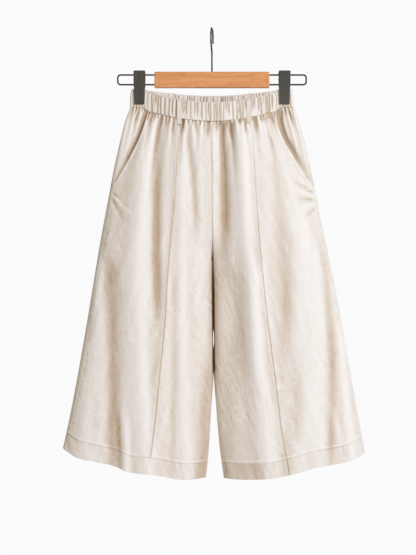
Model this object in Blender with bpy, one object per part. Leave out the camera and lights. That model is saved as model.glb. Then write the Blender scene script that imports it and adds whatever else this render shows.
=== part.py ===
"""Wide cropped pull-on trousers with an elastic waist, hanging from a clip hanger.

Metres, Z up, seen from -Y; left and right are those of that view. The origin is
the inside of the hook's crown, where it rests on a rail. A drop is a distance
below the origin. Tables and sizes are written in millimetres and turned into
metres by MM.
"""
import math

import bpy
import bmesh
import numpy as np
from mathutils import Vector

MM = 0.001
GAP = 0.3 * MM                  # air left between two pieces that are sewn together

# Cloth
WALL = 1.4 * MM                 # panels
HEM_EXTRA = 1.0 * MM            # the turned-up layer inside each hem
HEM_SHARE = 0.044               # hem height as a share of a panel's length
SIDE_ROUND = 2.2                # power of the rounded edges: 2 is an ellipse
FLAT_DROP = 170.0 * MM          # above here the halves lie as the waistband does
HIPS_DROP = 330.0 * MM          # from here on front and back bow apart as one tube
LEGS_DROPS = (300.0 * MM, 500.0 * MM)   # where that tube turns into two
EDGE_FOLD = 3.0 * MM            # how far in the flattened sides round off

# Waistband: an elastic casing in two halves
BAND_REACH = 162.5 * MM         # centre to side seam
BAND_HEIGHT = 37.0 * MM
BAND_TOP = 120.0 * MM           # drop of its top edge at the clips
BAND_HALF = 1.5 * MM            # half its thickness
BAND_SAG = {"front": 29.4 * MM, "back": 12.0 * MM}
BAND_BOW = {"front": 22.0 * MM, "back": 14.0 * MM}
BAND_CLEAR = 0.25 * MM          # inner face to the hanger's mid-plane, at the clips
RIB_PITCH = 7.4 * MM
RIB_OUT = 0.8 * MM              # how far a rib stands out on the outer face
RIB_IN = 0.5 * MM
RIB_SCALLOP = 0.6 * MM          # how far a rib lifts the top edge
RIB_DRIFT = 0.9 * MM            # unevenness of their spacing
BAND_TAPER = 0.018              # share by which the top edge is narrower
SQUEEZE_HALF = 20.0 * MM        # half width of the stretch that a clip flattens
SQUEEZE_EDGE = 7.0 * MM
SQUEEZED = 0.35                 # what is left of the ribs there
PANEL_SEAT = 0.5 * MM           # panel's outer face in front of the casing's middle
PINCH = 0.81                    # share of the reach at which the clips close the halves

# Clips and hanger
CLIP_PLACE = 145.0 * MM
CLIP_HALF = 11.7 * MM
WIRE_DROPS = (92.0 * MM, 111.4 * MM)
WIRE_RADIUS = 1.6 * MM
WIRE_CORNER = 6.0 * MM
HANGER_REACH = 190.0 * MM
BAR_SIZE = (230.0 * MM, 13.0 * MM, 32.0 * MM)
BAR_TOP = 86.0 * MM
BAR_ROUND = 2.5 * MM
HOOK_WIRE = 1.8 * MM            # radius of the hook's wire
HOOK_INNER = 19.7 * MM          # radius of the space inside the hook
HOOK_TURN = 0.1                 # sideways lean of the hook's plane, as a slope
HOOK_TIP_ANGLE = -17
HOOK_NECK_ANGLE = 240
HOOK_STEM_DROP = 56.0 * MM
HOOK_PULL = 8.0 * MM            # how softly the neck bends into the stem

# Belt loops
LOOP_WIDTH = 10.0 * MM
LOOP_WALL = 1.3 * MM
LOOP_TAIL = 10.0 * MM           # length below the waistband
LOOP_LIFT = 0.4 * MM            # clear of the band's ribs
LOOP_CROWN = 0.25 * MM
LOOP_STEP = 1.6 * MM            # most that its tail steps in below the band

# Slant pockets
POCKET_END = 316.0 * MM         # drop where the opening meets the side seam
POCKET_UNDERLAP = 0.11          # share of the width that the hip piece goes under
POCKET_CALM = 0.04              # share of the width over which the valleys fade before it
HIP_INSET = 2.4 * MM            # hip piece behind the front panel's outer face
HIP_RISE = 17.0 * MM            # distance over which it comes level with it

# Crotch
CROTCH_DROP = 456.0 * MM
CROTCH_CURVE = 82.0 * MM        # height over which the seam turns under
CROTCH_POWER = 2.2

# Stitched tucks down the fronts
TUCK_HALF = 1.6 * MM
TUCK_RISE = 1.2 * MM
TUCK_GROWTH = 0.03              # share of the length over which it rises below the band


def smooth_read(places, values, place):
    """Cubic curve through a few points, flat beyond its ends."""
    places = np.asarray(places, dtype=float)
    values = np.asarray(values, dtype=float)
    slopes = np.gradient(values, places)
    k = np.clip(np.searchsorted(places, place) - 1, 0, len(places) - 2)
    step = places[k + 1] - places[k]
    t = np.clip((place - places[k]) / step, 0.0, 1.0)
    ahead = t * t * (3.0 - 2.0 * t)
    start = slopes[k] * step * t * (1.0 - t) ** 2
    end = slopes[k + 1] * step * t * t * (t - 1.0)
    return values[k] * (1.0 - ahead) + values[k + 1] * ahead + start + end


def smooth_step(t):
    t = np.clip(t, 0.0, 1.0)
    return t * t * (3.0 - 2.0 * t)


class Table:
    """Rows of sizes under named columns, written in millimetres."""

    def __init__(self, names, rows):
        self.names = names.split()
        self.rows = np.array(rows, dtype=float) * MM

    def __getitem__(self, name):
        return self.rows[:, self.names.index(name)]

    def at(self, name, place):
        """Column `name`, read at a place in the first column."""
        return smooth_read(self.rows[:, 0], self[name], place)


# How wide the garment hangs at each drop, and the gap between its legs.
OUTLINE = Table("drop left right centre leg_gap", (
    (157, 164, 165, 0, 0.3),
    (186, 174, 174, -1, 0.3),
    (226, 184, 186, -1, 0.3),
    (274, 195, 196, 0, 0.3),
    (322, 204, 206, 0, 0.3),
    (418, 222, 226, 1, 0.3),
    (514, 238, 246, 2, 0.8),
    (610, 254, 264, 3, 1.2),
    (706, 271, 280, 3.5, 4.5),
    (802, 290, 298, 4, 16),
    (850, 301, 307, 5, 24),
    (900, 312, 318, 6, 36),
))

# How far the middle of each face stands from the hanger's mid-plane.
DEPTH = Table("drop front back", (
    (157, 22, 14),
    (190, 23, 15),
    (230, 29, 21),
    (290, 34, 29),
    (370, 38, 35),
    (456, 40, 38),
    (600, 38, 37),
    (750, 37, 37),
    (900, 40, 39),
))

# Drop of the hem's lower edge: `place` is thousandths of a leg's width.
HEM = Table("place left right", (
    (0, 896, 898),
    (150, 898, 898),
    (350, 887, 893),
    (550, 879, 880),
    (620, 871, 874),
    (750, 862, 868),
    (900, 853, 859),
    (1000, 838, 846),
))

# Pocket opening: `place` is thousandths of the half width.
POCKET = Table("drop place", (
    (165, 768),
    (186, 757),
    (219, 785),
    (250, 835),
    (284, 907),
    (308, 970),
    (316, 1000),
))

# The stitched tuck's distance from the centre, on each front.
TUCK = Table("drop left right", (
    (186, 68, 80),
    (300, 73, 84),
    (450, 86, 95),
    (600, 96, 111),
    (700, 106, 124),
    (800, 116, 136),
    (890, 127, 152),
))

# Main folds as lines down the cloth; a positive depth is a ridge, a negative a valley.
FOLD_COLUMNS = "x_top top x_mid mid x_low low width depth"
FRONT_FOLDS = Table(FOLD_COLUMNS, (
    (-96, 110, -108, 380, -114, 640, 8, -3.5),
    (-198, 400, -194, 640, -190, 990, 18, -8),
    (-136, 370, -146, 560, -124, 990, 20, 6),
    (-66, 230, -50, 540, -50, 990, 15, 5.5),
    (-38, 250, -38, 350, -36, 480, 10, -3),
    (-76, 400, -82, 620, -92, 990, 8, -3.5),
    (-168, 740, -166, 850, -164, 990, 8, 5),
    (-246, 560, -262, 720, -272, 990, 13, 4),
    (19, 110, 25, 330, 32, 600, 8, -6),
    (30, 460, 43, 650, 46, 990, 15, -6.5),
    (40, 110, 32, 220, 30, 300, 5, -2.5),
    (54, 180, 82, 430, 128, 990, 13, 4.5),
    (102, 180, 142, 440, 152, 990, 14, -6),
    (176, 350, 204, 530, 190, 990, 20, 5.5),
    (222, 400, 234, 620, 232, 990, 12, -5.5),
    (262, 600, 272, 760, 284, 990, 12, 4),
))
BACK_FOLDS = Table(FOLD_COLUMNS, (
    (-20, 110, -27, 300, -34, 520, 9, -5),
    (-112, 300, -128, 600, -136, 990, 20, 6),
    (-70, 260, -76, 560, -84, 990, 16, -6),
    (-184, 330, -204, 600, -212, 990, 17, -7),
    (-236, 520, -252, 720, -262, 990, 15, 5),
    (24, 130, 30, 330, 36, 560, 9, -5.5),
    (52, 300, 66, 560, 74, 990, 17, 6),
    (98, 260, 118, 560, 128, 990, 17, -7),
    (160, 330, 186, 600, 196, 990, 20, 6.5),
    (206, 420, 226, 640, 244, 990, 14, -6),
))

# Gathers under the waistband: where each valley starts, its depth and its length.
GATHER_COLUMNS = "place width depth length"
FRONT_GATHERS = Table(GATHER_COLUMNS, (
    (-151, 5, 3.4, 60),
    (-139, 4.5, 4.4, 70),
    (-116, 5, 2.9, 45),
    (-98, 5, 4.7, 120),
    (-83, 4, 2.3, 30),
    (-70, 4.5, 2.9, 40),
    (-56, 5, 4.4, 70),
    (-41, 4, 2.3, 35),
    (-26, 4, 3.1, 45),
    (-13, 4, 2.9, 35),
    (19, 5, 5.2, 150),
    (36, 5, 4.4, 60),
    (50, 4, 2.3, 35),
    (63, 4.5, 3.1, 45),
    (80, 4.5, 3.1, 50),
    (100, 5, 3.6, 60),
    (116, 4, 2.6, 35),
    (128, 4.5, 3.1, 45),
    (144, 5, 4.4, 80),
))
GATHER_PUFF = 4.2 * MM          # how far the cloth stands out between the gathers
GATHER_REACH = 85.0 * MM
GATHER_START = 0.35             # their share of full height at the seam itself
GATHER_GROWTH = 25.0 * MM       # distance below it over which they grow
GATHER_EDGE = 8.0 * MM          # where they end before the side seam
BACK_GATHER_COUNT = 20

FOLD_FADE_IN = 70.0 * MM
FOLD_FADE_OUT = 110.0 * MM
FOLD_ROOM = 14.0 * MM           # depth of cloth below which folds are made shallower


def back_gathers():
    """Gathers of the back, spaced and sized by a rule of uneven steps."""
    rows = []
    for k in range(BACK_GATHER_COUNT):
        along = (k + 0.5) / BACK_GATHER_COUNT * 2.0 - 1.0
        uneven = math.sin(2.4 * k)
        rows.append((along * 152 + 3 * uneven, 4.6, 3.4 + 1.1 * uneven, 55 + 28 * math.sin(3.9 * k)))
    return Table(GATHER_COLUMNS, rows)


GATHERS = {"front": FRONT_GATHERS, "back": back_gathers()}
FOLDS = {"front": FRONT_FOLDS, "back": BACK_FOLDS}
SIDES = {"left": -1.0, "right": 1.0}
FACES = {"front": -1.0, "back": 1.0}


def sag(x):
    """How a waistband half hangs between the clips: 1 in the middle, 0 at the seams."""
    return np.clip(1.0 - (x / BAND_REACH) ** 2, 0.0, 1.0) ** 1.4


def pinch(place):
    """How a waistband half bows between the clips: 1 in the middle, 0 from the clips on."""
    return np.clip(1.0 - (place / PINCH) ** 2, 0.0, 1.0) ** 1.3


def band_seam(face, x):
    """Drop of the seam under the waistband."""
    return BAND_TOP + BAND_HEIGHT + BAND_SAG[face] * sag(x)


def reach(side, drop):
    return OUTLINE.at(side, drop)


def inner_edge(side, drop):
    return OUTLINE.at("centre", drop) + SIDES[side] * OUTLINE.at("leg_gap", drop) / 2.0


def cloth_x(side, place, drop):
    """Place 0 is the centre seam or inseam, place 1 the side seam."""
    inner = inner_edge(side, drop)
    return inner + (SIDES[side] * reach(side, drop) - inner) * place


def cloth_drop(side, face, place, share):
    """Drop at a share of the way from the waistband's seam to the hem."""
    top = band_seam(face, place * OUTLINE["left"][0]) + GAP
    hem = HEM.at(side, place)
    return top + (hem - top) * share


def rounded(share):
    """Height of a rounded edge: 1 at share 0, 0 at share 1."""
    return (1.0 - np.clip(share, 0.0, 1.0) ** SIDE_ROUND) ** (1.0 / SIDE_ROUND)


def crotch_height(drop):
    """1 on the centre seam, falling to 0 where it turns under to the crotch."""
    turn = np.clip((drop - CROTCH_DROP + CROTCH_CURVE) / CROTCH_CURVE, 0.0, 1.0)
    return 1.0 - turn ** CROTCH_POWER


def base_depth(side, face, place, drop):
    """Outer face's distance from the mid-plane, without folds."""
    tube = smooth_step((drop - FLAT_DROP) / (HIPS_DROP - FLAT_DROP))
    legs = smooth_step((drop - LEGS_DROPS[0]) / (LEGS_DROPS[1] - LEGS_DROPS[0]))
    around = rounded(place) * (1.0 - legs) + rounded(2.0 * place - 1.0) * legs
    around = pinch(place) * (1.0 - tube) + around * tube
    seam = 1.0 - crotch_height(drop) ** SIDE_ROUND
    inner_half = np.clip(1.0 - 2.0 * place, 0.0, 1.0)
    inseam = (1.0 - seam * inner_half ** SIDE_ROUND) ** (1.0 / SIDE_ROUND)
    from_seam = (1.0 - place) * reach(side, drop)
    edge = np.clip(1.0 - from_seam / EDGE_FOLD, 0.0, 1.0)
    flat = (BAND_CLEAR + BAND_HALF + PANEL_SEAT) * (1.0 - tube) * np.sqrt(1.0 - edge ** 2)
    return GAP / 2.0 + flat + (DEPTH.at(face, drop) - flat) * around * inseam


def fold_depth(face, x, drop):
    total = np.zeros_like(x)
    for x_top, top, x_mid, mid, x_low, low, width, depth in FOLDS[face].rows:
        line = smooth_read((top, mid, low), (x_top, x_mid, x_low), drop)
        shown = smooth_step((drop - top) / FOLD_FADE_IN) * smooth_step((low - drop) / FOLD_FADE_OUT)
        total = total + depth * shown * np.exp(-((x - line) / width) ** 2)
    return total


def gather_depth(side, face, place, x, drop):
    """Puffed cloth between short valleys that fan out from the waistband."""
    at_waist = SIDES[side] * place * BAND_REACH
    below = np.maximum(drop - band_seam(face, at_waist), 0.0)
    grown = GATHER_START + (1.0 - GATHER_START) * smooth_step(below / GATHER_GROWTH)
    total = GATHER_PUFF * grown * np.exp(-(below / GATHER_REACH) ** 1.5)
    for start, width, depth, length in GATHERS[face].rows:
        shown = grown * np.exp(-(below / length) ** 1.5)
        total = total - depth * shown * np.exp(-((at_waist - start) / width) ** 2)
    return total * smooth_step((1.0 - place) * reach(side, drop) / GATHER_EDGE)


def relief(side, face, place, x, drop):
    """Folds and gathers, as a distance outward."""
    room = smooth_step(base_depth(side, face, place, drop) / FOLD_ROOM)
    return fold_depth(face, x, drop) * room + gather_depth(side, face, place, x, drop)


def over_pocket(place, drop):
    """1 where a front panel lies over the hip piece, 0 elsewhere."""
    nearness = (place - pocket_place(drop) + POCKET_UNDERLAP + POCKET_CALM) / POCKET_CALM
    return smooth_step(nearness) * smooth_step((POCKET_END + 40.0 * MM - drop) / (30.0 * MM))


def cloth_depth(side, face, place, x, drop):
    """Outer face's distance from the mid-plane, with folds and gathers."""
    base = base_depth(side, face, place, drop)
    raised = relief(side, face, place, x, drop)
    if face == "front":
        raised = np.maximum(raised, raised * (1.0 - over_pocket(place, drop)))
    return np.maximum(base + raised, np.minimum(base, WALL + 2.0 * GAP))


def tuck_place(side, drop):
    return (SIDES[side] * TUCK.at(side, drop) - inner_edge(side, drop)) / (
        SIDES[side] * reach(side, drop) - inner_edge(side, drop))


def pocket_place(drop):
    return np.where(drop < POCKET_END, POCKET.at("place", drop) / MM / 1000.0, 1.0)


def base_point(side, face, place, drop):
    x = cloth_x(side, place, drop)
    y = FACES[face] * base_depth(side, face, place, drop)
    return np.stack([x, y, -drop], axis=-1)


def base_normal(side, face, place, drop):
    """Outward direction of the unfolded surface."""
    step = 1e-4
    low = np.clip(place - step, 0.0, 1.0)
    high = np.clip(place + step, 0.0, 1.0)
    across = base_point(side, face, high, drop) - base_point(side, face, low, drop)
    down = base_point(side, face, place, drop + step) - base_point(side, face, place, drop - step)
    normal = np.cross(across, down)
    normal /= np.linalg.norm(normal, axis=-1, keepdims=True)
    return normal * SIDES[side] * FACES[face]


def cloth_faces(side, face, place, drop, depth, lift, wall):
    """Outer and inner points of a stretch of cloth."""
    x = cloth_x(side, place, drop)
    normal = base_normal(side, face, place, drop)
    outer = np.stack([x, FACES[face] * depth, -drop], axis=-1) + normal * lift[..., None]
    inner = outer - normal * wall[..., None]
    return outer, inner


def make_material(name, colour, roughness, metallic=0.0):
    material = bpy.data.materials.new(name)
    material.use_nodes = True
    shader = material.node_tree.nodes["Principled BSDF"]
    shader.inputs["Base Color"].default_value = (*colour, 1.0)
    shader.inputs["Roughness"].default_value = roughness
    shader.inputs["Metallic"].default_value = metallic
    material.diffuse_color = (*colour, 1.0)
    return material


def add_object(name, mesh, material, sharp=50.0):
    mesh.materials.append(material)
    mesh.shade_smooth()
    mesh.set_sharp_from_angle(angle=math.radians(sharp))
    thing = bpy.data.objects.new(name, mesh)
    bpy.context.collection.objects.link(thing)
    return thing


def close_mesh(name, points, faces):
    """Mesh of one closed body with its faces pointing out."""
    bm = bmesh.new()
    corners = [bm.verts.new(point) for point in points]
    for face in faces:
        bm.faces.new([corners[k] for k in face])
    bmesh.ops.recalc_face_normals(bm, faces=bm.faces[:])
    mesh = bpy.data.meshes.new(name)
    bm.to_mesh(mesh)
    bm.free()
    return mesh


def grid_faces(kept):
    """Faces between rows of points; a row may keep fewer columns than the one above."""
    faces = []
    for row, (above, below) in enumerate(zip(kept[:-1], kept[1:])):
        for a, b in zip(below[:-1], below[1:]):
            upper = [(row, c) for c in above if a <= c <= b]
            faces.append(upper + [(row + 1, b), (row + 1, a)])
    return faces


def grid_border(kept):
    """The points round a grid's edge, in order."""
    last = len(kept) - 1
    border = [(0, c) for c in kept[0]]
    border += [(row, kept[row][-1]) for row in range(1, last)]
    border += [(last, c) for c in reversed(kept[last])]
    border += [(row, kept[row][0]) for row in range(last - 1, 0, -1)]
    return border


def sheet_solid(name, outer, inner, kept, material):
    """Solid cloth between two grids of points."""
    index = {}
    points = []
    for layer, grid in enumerate((outer, inner)):
        for row, columns in enumerate(kept):
            for column in columns:
                index[layer, row, column] = len(points)
                points.append(Vector(grid[row][column]))
    faces = []
    for face in grid_faces(kept):
        faces.append([index[0, row, column] for row, column in face])
        faces.append([index[1, row, column] for row, column in reversed(face)])
    border = grid_border(kept)
    for here, there in zip(border, border[1:] + border[:1]):
        faces.append([index[0, *here], index[0, *there], index[1, *there], index[1, *here]])
    return add_object(name, close_mesh(name, points, faces), material)


# Rows of the panels, as shares of their length, close together where gathers are.
GATHER_ROWS = (0.0, 0.010, 0.028, 0.050, 0.078, 0.112)
CROTCH_SHARE = 0.379
PART_GAP = GAP / (720.0 * MM)    # gap between a panel's two solids, as a share of its length
LEG_ROWS = (0.43, 0.49, 0.55, 0.61, 0.67, 0.73, 0.79, 0.85, 0.905)
HEM_ROWS = (1.0 - HEM_SHARE, 1.0 - HEM_SHARE + 0.006, 1.0)
POCKET_SHARE = 0.2336
FRONT_ROWS = GATHER_ROWS + (0.15, 0.185, 0.208, 0.223, POCKET_SHARE, 0.275, 0.315, 0.350, CROTCH_SHARE)
FRONT_ROWS += LEG_ROWS + HEM_ROWS
BACK_ROWS = GATHER_ROWS + (0.155, 0.21, 0.265, 0.310, 0.350, CROTCH_SHARE) + LEG_ROWS + HEM_ROWS
INNER_COLUMNS = 20
OUTER_COLUMNS = 16
TUCK_COLUMN = INNER_COLUMNS + 1
COLUMN_COUNT = INNER_COLUMNS + 3 + OUTER_COLUMNS
BACK_COLUMNS = 36
EDGE_CROWD = 1.7


def settle(side, face, share, rule, count):
    """Places and drops of one row, where a rule gives places for the drops."""
    drop = np.full(count, HIPS_DROP)
    for _ in range(6):
        place = rule(side, drop)
        drop = cloth_drop(side, face, place, share)
    return place, drop


def every_second(count, tuck=None):
    """Columns that the lower rows keep: both ends, every second one and the tuck's three."""
    kept = [c for c in range(count) if c % 2 == 0 or c == count - 1]
    if tuck is not None:
        kept = sorted(set(kept) | {tuck - 1, tuck, tuck + 1})
    return kept


def front_places(side, drop):
    """A front panel's columns, spread round its tuck out to the pocket and side seam."""
    inward = np.linspace(0.0, 1.0, INNER_COLUMNS, endpoint=False) ** EDGE_CROWD
    outward = 1.0 - np.linspace(1.0, 0.0, OUTER_COLUMNS + 1)[1:] ** EDGE_CROWD
    half = TUCK_HALF / reach(side, drop)
    tuck = tuck_place(side, drop)
    edge = pocket_place(drop)
    beside = np.array([-1.0, 0.0, 1.0])
    first, last = TUCK_COLUMN - 1, TUCK_COLUMN + 2
    return np.concatenate([
        inward * (tuck - half)[:first],
        (tuck[first:last] + beside * half[first:last]),
        (tuck + half)[last:] + outward * (edge - tuck - half)[last:],
    ])


def back_places():
    even = np.linspace(0.0, 1.0, BACK_COLUMNS + 1)
    crowded = 0.5 - 0.5 * np.cos(math.pi * even)
    return 0.5 * even + 0.5 * crowded


def hem_wall(share, place):
    return np.full_like(place, WALL + (HEM_EXTRA if share > 1.0 - HEM_SHARE + 1e-6 else 0.0))


def panel_parts(name, rows):
    """A panel's two solids, which meet at the crotch's height: their names and rows."""
    upper = tuple(share for share in rows if share <= CROTCH_SHARE)
    lower = tuple(share for share in rows if share > CROTCH_SHARE)
    return (name, upper), (f"leg_{name}", (CROTCH_SHARE + PART_GAP,) + lower)


def make_front(side, material):
    coarse = every_second(COLUMN_COUNT, TUCK_COLUMN)
    for name, rows in panel_parts(f"front_{side}", FRONT_ROWS):
        outer, inner, kept = [], [], []
        for share in rows:
            place, drop = settle(side, "front", share, front_places, COLUMN_COUNT)
            lift = np.zeros(COLUMN_COUNT)
            lift[TUCK_COLUMN] = TUCK_RISE * smooth_step(share / TUCK_GROWTH)
            wall = hem_wall(share, place) + lift
            depth = cloth_depth(side, "front", place, cloth_x(side, place, drop), drop)
            points = cloth_faces(side, "front", place, drop, depth, lift, wall)
            outer.append(points[0])
            inner.append(points[1])
            kept.append(list(range(COLUMN_COUNT)) if share <= GATHER_ROWS[-1] else coarse)
        sheet_solid(name, outer, inner, kept, material)


def make_back(side, material):
    coarse = every_second(BACK_COLUMNS + 1)
    for name, rows in panel_parts(f"back_{side}", BACK_ROWS):
        outer, inner, kept = [], [], []
        for share in rows:
            place = back_places()
            drop = cloth_drop(side, "back", place, share)
            depth = cloth_depth(side, "back", place, cloth_x(side, place, drop), drop)
            flat = np.zeros_like(place)
            points = cloth_faces(side, "back", place, drop, depth, flat, hem_wall(share, place))
            outer.append(points[0])
            inner.append(points[1])
            kept.append(list(range(BACK_COLUMNS + 1)) if share <= GATHER_ROWS[-1] else coarse)
        sheet_solid(name, outer, inner, kept, material)


HIP_ROWS = (0.0, 0.012, 0.030, 0.055, 0.085, 0.120, 0.155, 0.185, 0.208, 0.220, 0.229)
HIP_COLUMNS = 12


def hip_places(side, drop):
    """A hip piece's columns, from under the front panel to the side seam."""
    across = np.linspace(0.0, 1.0, HIP_COLUMNS + 1)
    across = 0.5 * across + 0.5 * (1.0 - (1.0 - across) ** 1.6)
    start = POCKET.at("place", drop) / MM / 1000.0 - POCKET_UNDERLAP
    return start + (1.0 - start) * across


def make_hip(side, material):
    """Side piece that shows in the pocket opening and goes on under the front."""
    outer, inner = [], []
    for share in HIP_ROWS:
        place, drop = settle(side, "front", share, hip_places, HIP_COLUMNS + 1)
        past = (place - POCKET.at("place", drop) / MM / 1000.0) * reach(side, drop)
        shown = smooth_step(past / HIP_RISE)
        raised = relief(side, "front", place, cloth_x(side, place, drop), drop)
        depth = base_depth(side, "front", place, drop) + shown * np.maximum(raised, 0.0)
        inset = HIP_INSET * (shown - 1.0)
        points = cloth_faces(side, "front", place, drop, depth, inset, np.full_like(place, WALL))
        outer.append(points[0])
        inner.append(points[1])
    kept = [list(range(HIP_COLUMNS + 1))] * len(HIP_ROWS)
    return sheet_solid(f"hip_{side}", outer, inner, kept, material)


# The casing's cross-section: share of its height, share of its half thickness.
BAND_RING = (
    (0.0, 0.70), (0.12, 1.0), (0.50, 1.0), (0.88, 0.95),
    (1.0, 0.0),
    (0.88, -0.95), (0.50, -1.0), (0.0, -0.70),
)


def band_columns():
    """Places of the casing's ribs and the hollows between them, unevenly spaced."""
    count = 2 * round(BAND_REACH / RIB_PITCH) * 2
    steps = np.linspace(-1.0, 1.0, count + 1)
    k = np.arange(count + 1)
    drift = RIB_DRIFT * np.sin(1.7 * k) * (1.0 - steps ** 8)
    return steps * BAND_REACH + drift, k


def band_squeeze(x):
    """1 under a clip, 0 elsewhere."""
    return smooth_step((SQUEEZE_HALF - np.abs(np.abs(x) - CLIP_PLACE)) / SQUEEZE_EDGE)


def band_depth(face, x):
    """Distance of the casing's middle from the mid-plane."""
    return BAND_CLEAR + BAND_HALF + RIB_IN * SQUEEZED + BAND_BOW[face] * pinch(np.abs(x) / BAND_REACH)


def rib_height(x, k):
    crest = np.where(k % 2 == 0, 1.0, -1.0)
    uneven = 0.8 + 0.2 * np.sin(2.3 * k)
    return crest * uneven * (1.0 - (1.0 - SQUEEZED) * band_squeeze(x))


def make_band(face, material):
    x, k = band_columns()
    ribs = rib_height(x, k)
    end = np.abs(x) > BAND_REACH - 1.0 * MM
    half = np.where(end, 0.45 * BAND_HALF, BAND_HALF)
    middle = np.where(end, BAND_CLEAR + half + RIB_IN, band_depth(face, x))
    puff = np.where(end, 0.0, ribs)
    top = BAND_TOP + BAND_SAG[face] * sag(x)
    rings = []
    for height, share in BAND_RING:
        rib = RIB_OUT if share > 0.0 else RIB_IN
        depth = middle + share * (half + rib * puff)
        drop = top + BAND_HEIGHT * (1.0 - height) - RIB_SCALLOP * puff * (height == 1.0)
        narrowed = x * (1.0 - BAND_TAPER * height ** 3)
        rings.append(np.stack([narrowed, FACES[face] * depth, -drop], axis=-1))
    count = len(x)
    size = len(BAND_RING)
    points = [Vector(rings[r][c]) for c in range(count) for r in range(size)]
    faces = [list(range(size)), list(range((count - 1) * size, count * size))]
    for c in range(count - 1):
        for r in range(size):
            s = (r + 1) % size
            faces.append([c * size + r, c * size + s, (c + 1) * size + s, (c + 1) * size + r])
    return add_object(f"waistband_{face}", close_mesh(face, points, faces), material, sharp=70.0)


BELT_LOOPS = {"front": (-65.0 * MM, 73.0 * MM), "back": (-78.0 * MM, 78.0 * MM)}
LOOP_ROWS = (0.0, 0.25, 0.6, 0.86, 1.0)     # shares of the band's height
LOOP_TAIL_ROWS = (0.35, 1.0)                # shares of the tail


def loop_depth(side, face, x, drop, below_band):
    """Distance of a belt loop's inner face from the mid-plane."""
    over_band = band_depth(face, x) + BAND_HALF + RIB_OUT + LOOP_LIFT
    if not below_band:
        return over_band
    near = x[:, None] + LOOP_WIDTH * np.linspace(-0.25, 0.25, 7)
    drops = np.full_like(near, drop)
    centre = inner_edge(side, drops)
    place = (near - centre) / (SIDES[side] * reach(side, drops) - centre)
    beneath = cloth_depth(side, face, place, near, drops).max(axis=1)
    tuck = TUCK_RISE if face == "front" else 0.0
    return np.maximum(beneath + tuck + LOOP_LIFT, over_band - LOOP_STEP)


def make_loop(side, face, middle, material):
    """Strip that lies over the band and is tacked down above and below it."""
    x = middle + LOOP_WIDTH * np.array([-0.5, -0.2, 0.2, 0.5])
    crown = LOOP_CROWN * np.array([0.0, 1.0, 1.0, 0.0])
    top = BAND_TOP + BAND_SAG[face] * sag(middle)
    stations = [(top + BAND_HEIGHT * share, False) for share in LOOP_ROWS]
    stations += [(top + BAND_HEIGHT + LOOP_TAIL * share, True) for share in LOOP_TAIL_ROWS]
    outer, inner = [], []
    for drop, below_band in stations:
        depth = loop_depth(side, face, x, drop, below_band)
        height = np.full_like(x, -drop)
        inner.append(np.stack([x, FACES[face] * depth, height], axis=-1))
        outer.append(np.stack([x, FACES[face] * (depth + LOOP_WALL + crown), height], axis=-1))
    kept = [list(range(len(x)))] * len(stations)
    return sheet_solid(f"loop_{face}_{side}", outer, inner, kept, material)


def make_bar(material):
    bm = bmesh.new()
    bmesh.ops.create_cube(bm, size=1.0)
    bmesh.ops.scale(bm, vec=BAR_SIZE, verts=bm.verts)
    mesh = bpy.data.meshes.new("bar")
    bm.to_mesh(mesh)
    bm.free()
    bar = add_object("bar", mesh, material, sharp=40.0)
    bar.location = (0.0, 0.0, -BAR_TOP - BAR_SIZE[2] / 2.0)
    bevel = bar.modifiers.new("rounded edges", "BEVEL")
    bevel.width = BAR_ROUND
    bevel.segments = 3
    return bar


def make_wire(name, route, radius, material, sides=3):
    """Round wire along a list of points, closed at both ends."""
    curve = bpy.data.curves.new(name, "CURVE")
    curve.dimensions = "3D"
    curve.bevel_depth = radius
    curve.bevel_resolution = sides
    curve.use_fill_caps = True
    spline = curve.splines.new("POLY")
    spline.points.add(len(route) - 1)
    for point, place in zip(spline.points, route):
        point.co = (*place, 1.0)
    curve.materials.append(material)
    thing = bpy.data.objects.new(name, curve)
    bpy.context.collection.objects.link(thing)
    return thing


def arc(centre, radius, start, end, count):
    """Points round part of a circle, angles in degrees."""
    for angle in np.linspace(math.radians(start), math.radians(end), count):
        yield centre[0] + radius * math.cos(angle), centre[1] + radius * math.sin(angle)


def wire_route(direction):
    """One end of the flattened wire loop, from the bar out and back."""
    start = BAR_SIZE[0] / 2.0 + GAP
    corner = HANGER_REACH - WIRE_RADIUS - WIRE_CORNER
    top, low = (-drop for drop in WIRE_DROPS)
    flat = [(start, top)]
    flat += list(arc((corner, top - WIRE_CORNER), WIRE_CORNER, 90, 0, 6))
    flat += list(arc((corner, low + WIRE_CORNER), WIRE_CORNER, 0, -90, 6))
    flat.append((start, low))
    return [(direction * x, 0.0, z) for x, z in flat]


def hook_route():
    """Over the rail from its tip behind, forward, down and into the stem."""
    radius = HOOK_INNER + HOOK_WIRE
    bend = list(arc((0.0, -HOOK_INNER), radius, HOOK_TIP_ANGLE, HOOK_NECK_ANGLE, 27))
    neck = math.radians(HOOK_NECK_ANGLE)
    start = Vector(bend[-1])
    heading = Vector((-math.sin(neck), math.cos(neck)))
    end = Vector((0.0, -HOOK_STEM_DROP))
    handles = (start, start + heading * HOOK_PULL, end + Vector((0.0, HOOK_PULL)), end)
    for t in np.linspace(0.0, 1.0, 8)[1:]:
        back = 1.0 - t
        weights = (back ** 3, 3.0 * t * back ** 2, 3.0 * t * t * back, t ** 3)
        point = sum((handle * weight for handle, weight in zip(handles, weights)), Vector((0.0, 0.0)))
        bend.append(tuple(point))
    bend.append((0.0, -BAR_TOP + GAP))
    return [(HOOK_TURN * y, y, z) for y, z in bend]


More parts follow.
